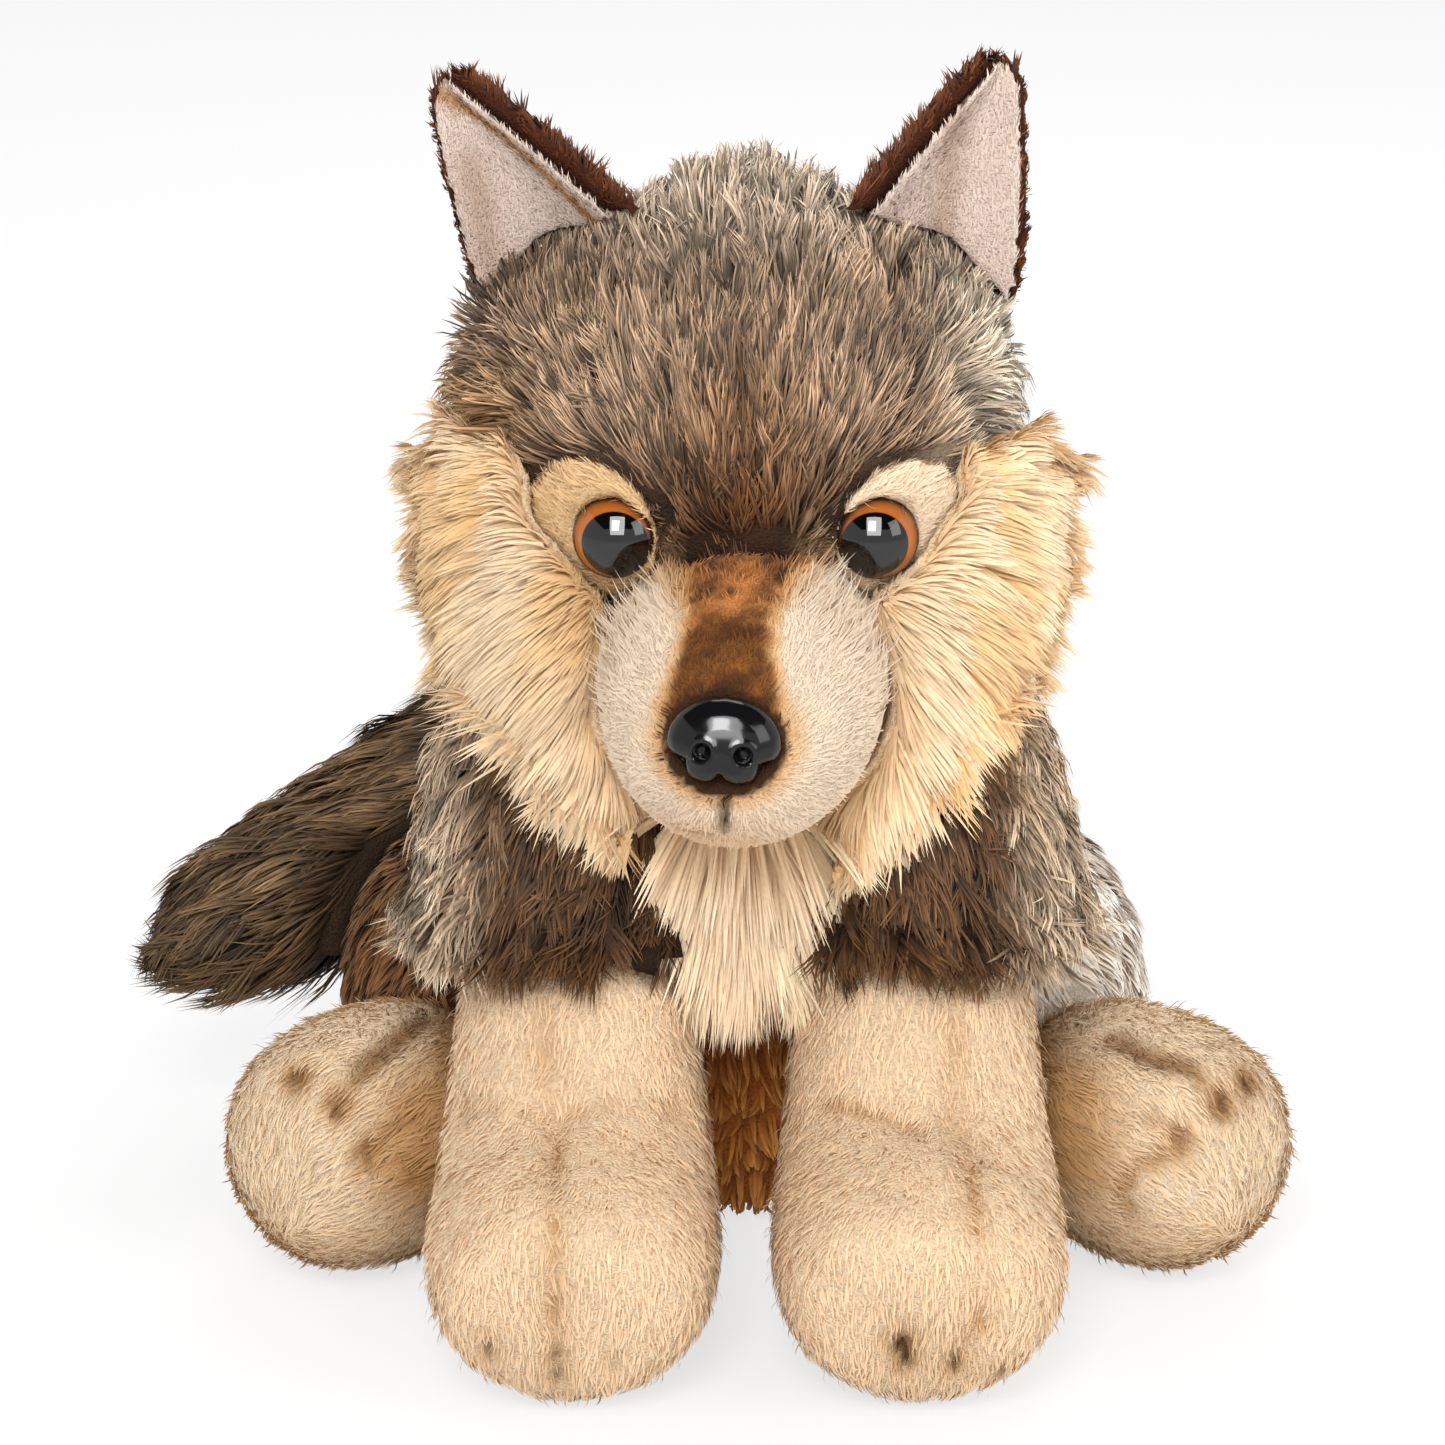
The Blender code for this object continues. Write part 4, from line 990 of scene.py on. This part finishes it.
def ruff_pattern(points, normals):
    face = on_face(points)
    side = np.sign(face[:, :1])
    away = points - RUFF_FLOW_SOURCE
    sweep = unit(away * np.array([1, 0, 1])) + DOWN * 0.4 + np.array([0, 0.25, 0])
    lie = along_surface(sweep, normals)
    up = (face[:, 2] + 0.046) / RUFF_HALF_HEIGHT
    out = (side[:, 0] * face[:, 0] - 0.0475 - 0.015 * up) / RUFF_HALF_WIDTH
    length = 0.0055 + 0.021 * np.clip(1.02 - np.hypot(up, out), 0, 1)
    length += 0.005 * ramp(0.5, 0.95, up) * ramp(0, 0.4, out)
    warm = ramp(-0.1, 0.8, mottle(points * np.array([1, 1, 0.4]), 0.012, 31)) * 0.8
    light = mottle(points * np.array([1, 1, 0.35]), 0.008, 29) * 0.08
    # Painted light on the lower ruff under the chin, and painted shade over the wolf's right ruff
    light += 0.04 * ramp(0.17, 0.14, points[:, 2]) - 0.14 * ramp(0, -0.03, points[:, 0])
    light = (1 + light)[:, None]
    roots = tint(dye(248, 212, 164), dye(232, 178, 108), warm) * light
    tips = tint(dye(252, 228, 194), dye(244, 206, 152), warm) * light
    return lie, length, roots, tips


for side in ("left", "right"):
    cover(
        side + "_cheek_ruff", 10500, "gold_long_pile", ruff_pattern, depth=0.003, width=0.001,
        beside=("head", "muzzle", side + "_sleeve", side + "_brow_patch", side + "_eye", "torso"),
        laps={side + "_eye": 0.001, side + "_brow_patch": 0.002}, radius=0.2, per_lock=40, gather=0.35,
        wander=0.07, tone=0.03, lift=0.1, parted=0.05, rounded=0.15, sag=0.15, skin_share=0.5,
        voxel=0.002, rounds=14, clear=0.0006, seed=101,
    )


def bib_pattern(points, normals):
    lie = along_surface(DOWN + np.array([0.8, 0, 0]) * points[:, :1] / 0.02, normals)
    light = (1 + mottle(points * np.array([1, 1, 0.3]), 0.006, 37) * 0.1)[:, None]
    length = 0.01 + 0.014 * ramp(0.08, 0.1, points[:, 2])
    return lie, length, dye(255, 218, 170) * light, dye(255, 232, 202) * light


cover(
    "chest_bib", 5500, "gold_long_pile", bib_pattern, depth=0.0025, width=0.001,
    beside=("head", "muzzle", "left_sleeve", "right_sleeve", "torso"), radius=0.3, stand=0.004,
    per_lock=36, wander=0.12, tone=0.04, parted=0.1, rounded=0.15, sag=0.1, skin_share=0.6,
    voxel=0.002, rounds=14, seed=111,
)


# Ears: two layers, sewn round the edge and cupped: dense reddish brown pile behind, very short pinkish
# pile in front. Each lining is darkened down its middle with painted shade, as of a soft fold, and the
# right one's inner edge is dyed ochre
def ear_back_pattern(points, normals):
    outer = ramp(0.1, 0.6, normals[:, 0] * np.sign(points[:, 0]))
    lie = along_surface(np.array([0, 0.1, 1.0]), normals)
    light = (1 + mottle(points, 0.008, 41) * 0.2)[:, None]
    return lie, 0.0048 - 0.0036 * outer, dye(66, 30, 12) * light, dye(122, 68, 34) * light


LEFT_EAR_FOLD = (
    (0.0479, -0.0643, 0.2778), (0.0467, -0.0582, 0.2664), (0.0452, -0.0553, 0.2542),
    (0.043, -0.056, 0.244),
)
RIGHT_EAR_FOLD = (
    (-0.0636, -0.052, 0.2652), (-0.0619, -0.051, 0.2581), (-0.0603, -0.0494, 0.246),
    (-0.058, -0.05, 0.236),
)
RIGHT_EAR_EDGE = (
    (-0.0725, -0.0551, 0.284), (-0.0645, -0.0547, 0.280), (-0.0562, -0.059, 0.2752),
    (-0.0494, -0.0602, 0.2694), (-0.0426, -0.0612, 0.263), (-0.0353, -0.0618, 0.2557),
    (-0.029, -0.063, 0.248),
)


def ear_lining_pattern(points, normals):
    lie = along_surface(np.array([0, 0, 1.0]), normals)
    # Painted shade down the middle of each lining, where it folds softly
    fold = strongest(line(points, LEFT_EAR_FOLD, 0.0045), line(points, RIGHT_EAR_FOLD, 0.0045)) * 0.7
    rim = line(points, RIGHT_EAR_EDGE, 0.0022)
    # Painted shade: the wolf's right lining is a little darker
    light = (1 + mottle(points, 0.01, 43) * 0.04 - 0.04 * ramp(0, -0.02, points[:, 0]))[:, None]
    roots = layered(dye(222, 200, 186), (dye(176, 144, 124), fold), (dye(160, 104, 50), rim))
    tips = layered(dye(236, 218, 206), (dye(196, 166, 146), fold), (dye(196, 142, 82), rim))
    return lie, np.full(len(points), 0.002), roots * light, tips * light


for side in ("left", "right"):
    cover(
        side + "_ear_back", 4200, "ear_brown_pile", ear_back_pattern, depth=0.0015, width=0.0006,
        beside=("head", side + "_ear_lining"), rings=2, tone=0.15, voxel=0.0014, wander=0.3, seed=121,
    )
    cover(
        side + "_ear_lining", 3200, "ear_lining_pile", ear_lining_pattern, depth=0.0004, width=0.0004,
        beside=("head", side + "_ear_back"), **dict(SHORT_PILE, stand=0.0008, tone=0.015),
        voxel=0.001, clear=0.0004, seed=131,
    )


# Safety eyes: domed caps moulded in clear amber over a black pupil that looks in and down, each on
# a shank that is pushed through the brow patch and held by a washer behind
EYE_RADIUS, EYE_BULGE, EYE_PROUD = 0.0093, 0.0056, 0.0038
EYE_SHANK, SHANK_SHARE = 0.0185, 0.3
# Each step of the rim: how far it drops, and its size beside the one above
EYE_STEPS = ((0.00055, 1.015), (0.0011, 0.96), (0.00055, 0.86))
EYE_SEATS = {"left": Vector((0.0312, -0.0525, -0.0148)), "right": Vector((-0.0268, -0.0545, -0.0148))}
EYE_FACING = Vector((0.1908, -0.9779, 0.0872))
PUPIL_RADIUS, PUPIL_IN, PUPIL_DOWN = 0.0076, 0.0013, 0.001
# Iris colours out to the rim; the last two stops, a thin dark outline, are partly the cap's edge and
# partly painted shade
IRIS_AND_RIM_SHADE_STOPS = (
    (0.0, (120, 62, 20)), (0.72, (166, 92, 32)), (0.88, (140, 74, 24)), (0.95, (60, 30, 12)),
    (1.0, (20, 11, 7)),
)


def eye_finish(side, outward, place):
    """Amber that darkens to the rim, with a sharp black pupil. The thin dark outline at the rim is
    partly the cap's own edge and partly painted shade.
    """
    finish = new_finish(side + "_eye_amber", 0.03, gloss=0.7)
    nodes, links, plastic = parts_of(finish)
    where = nodes.new("ShaderNodeTexCoord")
    level = nodes.new("ShaderNodeMapping")
    flat = place.inverted()
    level.inputs["Location"].default_value = flat.to_translation()
    level.inputs["Rotation"].default_value = flat.to_euler()
    apart = nodes.new("ShaderNodeSeparateXYZ")
    dial = nodes.new("ShaderNodeCombineXYZ")
    links.new(where.outputs["Object"], level.inputs["Vector"])
    links.new(level.outputs["Vector"], apart.inputs["Vector"])
    links.new(apart.outputs["X"], dial.inputs["X"])
    links.new(apart.outputs["Y"], dial.inputs["Y"])

    def ring(across, up, radius):
        """Distance from a middle on the dome, in radii."""
        shift, size = nodes.new("ShaderNodeVectorMath"), nodes.new("ShaderNodeVectorMath")
        shift.operation, size.operation = "SUBTRACT", "LENGTH"
        shift.inputs[1].default_value = (across, up, 0)
        share = reckon(nodes, "DIVIDE")
        share.inputs[1].default_value = radius
        links.new(dial.outputs["Vector"], shift.inputs[0])
        links.new(shift.outputs["Vector"], size.inputs[0])
        links.new(size.outputs["Value"], share.inputs[0])
        return share.outputs[0]

    pupil = nodes.new("ShaderNodeValToRGB")
    pupil.color_ramp.elements[0].position = 0.97
    pupil.color_ramp.elements[1].position = 1.0
    links.new(ring(-outward * PUPIL_IN, -PUPIL_DOWN, PUPIL_RADIUS), pupil.inputs["Fac"])
    # Iris colours, with painted shade in the dark outline at the rim
    iris_and_rim_shade = nodes.new("ShaderNodeValToRGB")
    for number, (position, colour) in enumerate(IRIS_AND_RIM_SHADE_STOPS):
        stop = iris_and_rim_shade.color_ramp.elements[number] if number < 2 else iris_and_rim_shade.color_ramp.elements.new(position)
        stop.position = position
        stop.color = (*dye(*colour), 1)
    links.new(ring(0, 0, EYE_RADIUS), iris_and_rim_shade.inputs["Fac"])
    painted = nodes.new("ShaderNodeMix")
    painted.data_type = "RGBA"
    painted.inputs["A"].default_value = (0.002, 0.002, 0.0022, 1)
    links.new(pupil.outputs["Color"], painted.inputs["Factor"])
    links.new(iris_and_rim_shade.outputs["Color"], painted.inputs["B"])
    links.new(painted.outputs["Result"], plastic.inputs["Base Color"])
    return finish


def draw_in(share, drop):
    """The rim of an open shell carried on, smaller by a share and a drop lower."""
    bpy.ops.mesh.extrude_region_move(TRANSFORM_OT_translate={"value": (0, 0, -drop)})
    bpy.ops.transform.resize(value=(share, share, 1), center_override=(0, 0, 0))


def make_eye(side, outward):
    """The top of a sphere with a stepped rim below, drawn in to the shank."""
    bpy.ops.object.select_all(action="DESELECT")
    sphere = (EYE_RADIUS**2 + EYE_BULGE**2) / (2 * EYE_BULGE)
    bpy.ops.mesh.primitive_uv_sphere_add(
        segments=64, ring_count=64, radius=sphere, location=(0, 0, EYE_BULGE - sphere)
    )
    eye = bpy.context.object
    eye.name = side + "_eye_cap"
    bpy.ops.object.transform_apply(location=True)
    bpy.ops.object.mode_set(mode="EDIT")
    bpy.ops.mesh.select_all(action="SELECT")
    bpy.ops.mesh.bisect(plane_co=(0, 0, 0), plane_no=(0, 0, 1), clear_inner=True, clear_outer=False)
    for drop, share in EYE_STEPS:
        draw_in(share, drop)
    draw_in(SHANK_SHARE, 0)
    draw_in(1, EYE_SHANK)
    bpy.ops.mesh.edge_face_add()
    bpy.ops.mesh.select_all(action="SELECT")
    bpy.ops.mesh.normals_make_consistent(inside=False)
    bpy.ops.object.mode_set(mode="OBJECT")
    turn = Matrix.Rotation(HEAD_TURN, 4, "Z")
    facing = Vector((outward * EYE_FACING.x, EYE_FACING.y, EYE_FACING.z))
    seat = EYE_SEATS[side] + facing * EYE_PROUD
    stance = facing.to_track_quat("Z", "Y").to_matrix().to_4x4()
    place = Matrix.Translation(Vector(HEAD_MIDDLE)) @ turn @ Matrix.Translation(seat) @ stance
    eye.data.transform(place)
    bpy.ops.object.shade_smooth_by_angle(angle=math.radians(50))
    eye.data.materials.append(eye_finish(side, outward, place))
    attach(eye, "root")
    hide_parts(side + "_eye")


make_eye("left", 1)
make_eye("right", -1)


# Safety nose: moulded in one with its shank in black gloss plastic. Two lobes hang below a wide
# upper one, parted by slits that run out from the nostrils and a notch at the bottom
NOSE_FACING = Vector((0, -0.9848, 0.1736))
NOSE_ROLL = math.radians(-4)
NOSE_SHANK = 0.004
NOSTRILS, NOSTRIL_DEPTH = ((0.0044, -0.0016), (-0.0044, -0.0016)), 0.0016
# Where the outline is pinched: place, size and share of the width
PINCHES = (
    ((0.0102, -0.0048), (0.0022, 0.002), 0.16), ((-0.0102, -0.0048), (0.0022, 0.002), 0.16),
    ((-0.0004, -0.0095), (0.0011, 0.0024), 0.2),
)
# Each slit's two ends and depth
SLITS = (
    (((0.0052, -0.0028), (0.0098, -0.0048)), 0.0009), (((-0.0052, -0.0028), (-0.0098, -0.0048)), 0.0009),
    (((-0.0004, -0.0068), (-0.0004, -0.011)), 0.001),
)
SLIT_WIDTH = 0.0006


def model_nose(skin):
    place = Matrix.Translation(Vector(HEAD_MIDDLE)) @ Matrix.Rotation(HEAD_TURN, 4, "Z")
    place = place @ Matrix.Translation(Vector(NOSE_MIDDLE))
    place = place @ NOSE_FACING.to_track_quat("Z", "Y").to_matrix().to_4x4()
    place = place @ Matrix.Rotation(NOSE_ROLL, 4, "Z")
    skin.data.transform(place.inverted())
    spots = of_vertices(skin, "co")
    flat, height = spots[:, :2].copy(), spots[:, 2].copy()
    off_shank = np.hypot(*flat.T) + NOSE_SHANK * (height > 0.001)
    cap = ramp(0.0, 0.002, height) * ramp(NOSE_SHANK, 0.0045, off_shank)
    drawn, cut = np.zeros(len(flat)), np.zeros(len(flat))
    for middle, size, share in PINCHES:
        drawn += share * spot(flat, middle, size)
    for ends, depth in SLITS:
        cut += depth * line(flat, ends, SLIT_WIDTH)
    for across, up in NOSTRILS:
        away = np.hypot(flat[:, 0] - across, flat[:, 1] - up)
        cut += NOSTRIL_DEPTH * ramp(0.0021, 0.001, away)
        cut -= 0.0003 * np.exp(-(((away - 0.0027) / 0.0006) ** 2))
    spots[:, :2] *= (1 - drawn * cap)[:, None]
    spots[:, 2] -= cut * cap
    skin.data.vertices.foreach_set("co", spots.ravel())
    skin.data.transform(place)


nose = stuffed_form("nose", 0.00045, rounds=24)
nose.name = "moulded_nose"
model_nose(nose)
nose.data.materials.append(new_finish("black_nose_plastic", 0.13, (0.004, 0.004, 0.0045), gloss=0.38))
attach(nose, "root")
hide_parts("nose")


# Washers: moulded in white plastic and pressed onto the shanks from inside, hidden in the stuffing.
# The frame's own solids are left as they are
white_plastic = new_finish("washer_plastic", 0.4, (0.7, 0.7, 0.68))
for node in ("nose_washer", "left_eye_washer", "right_eye_washer"):
    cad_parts[node].data.materials.clear()
    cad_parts[node].data.materials.append(white_plastic)
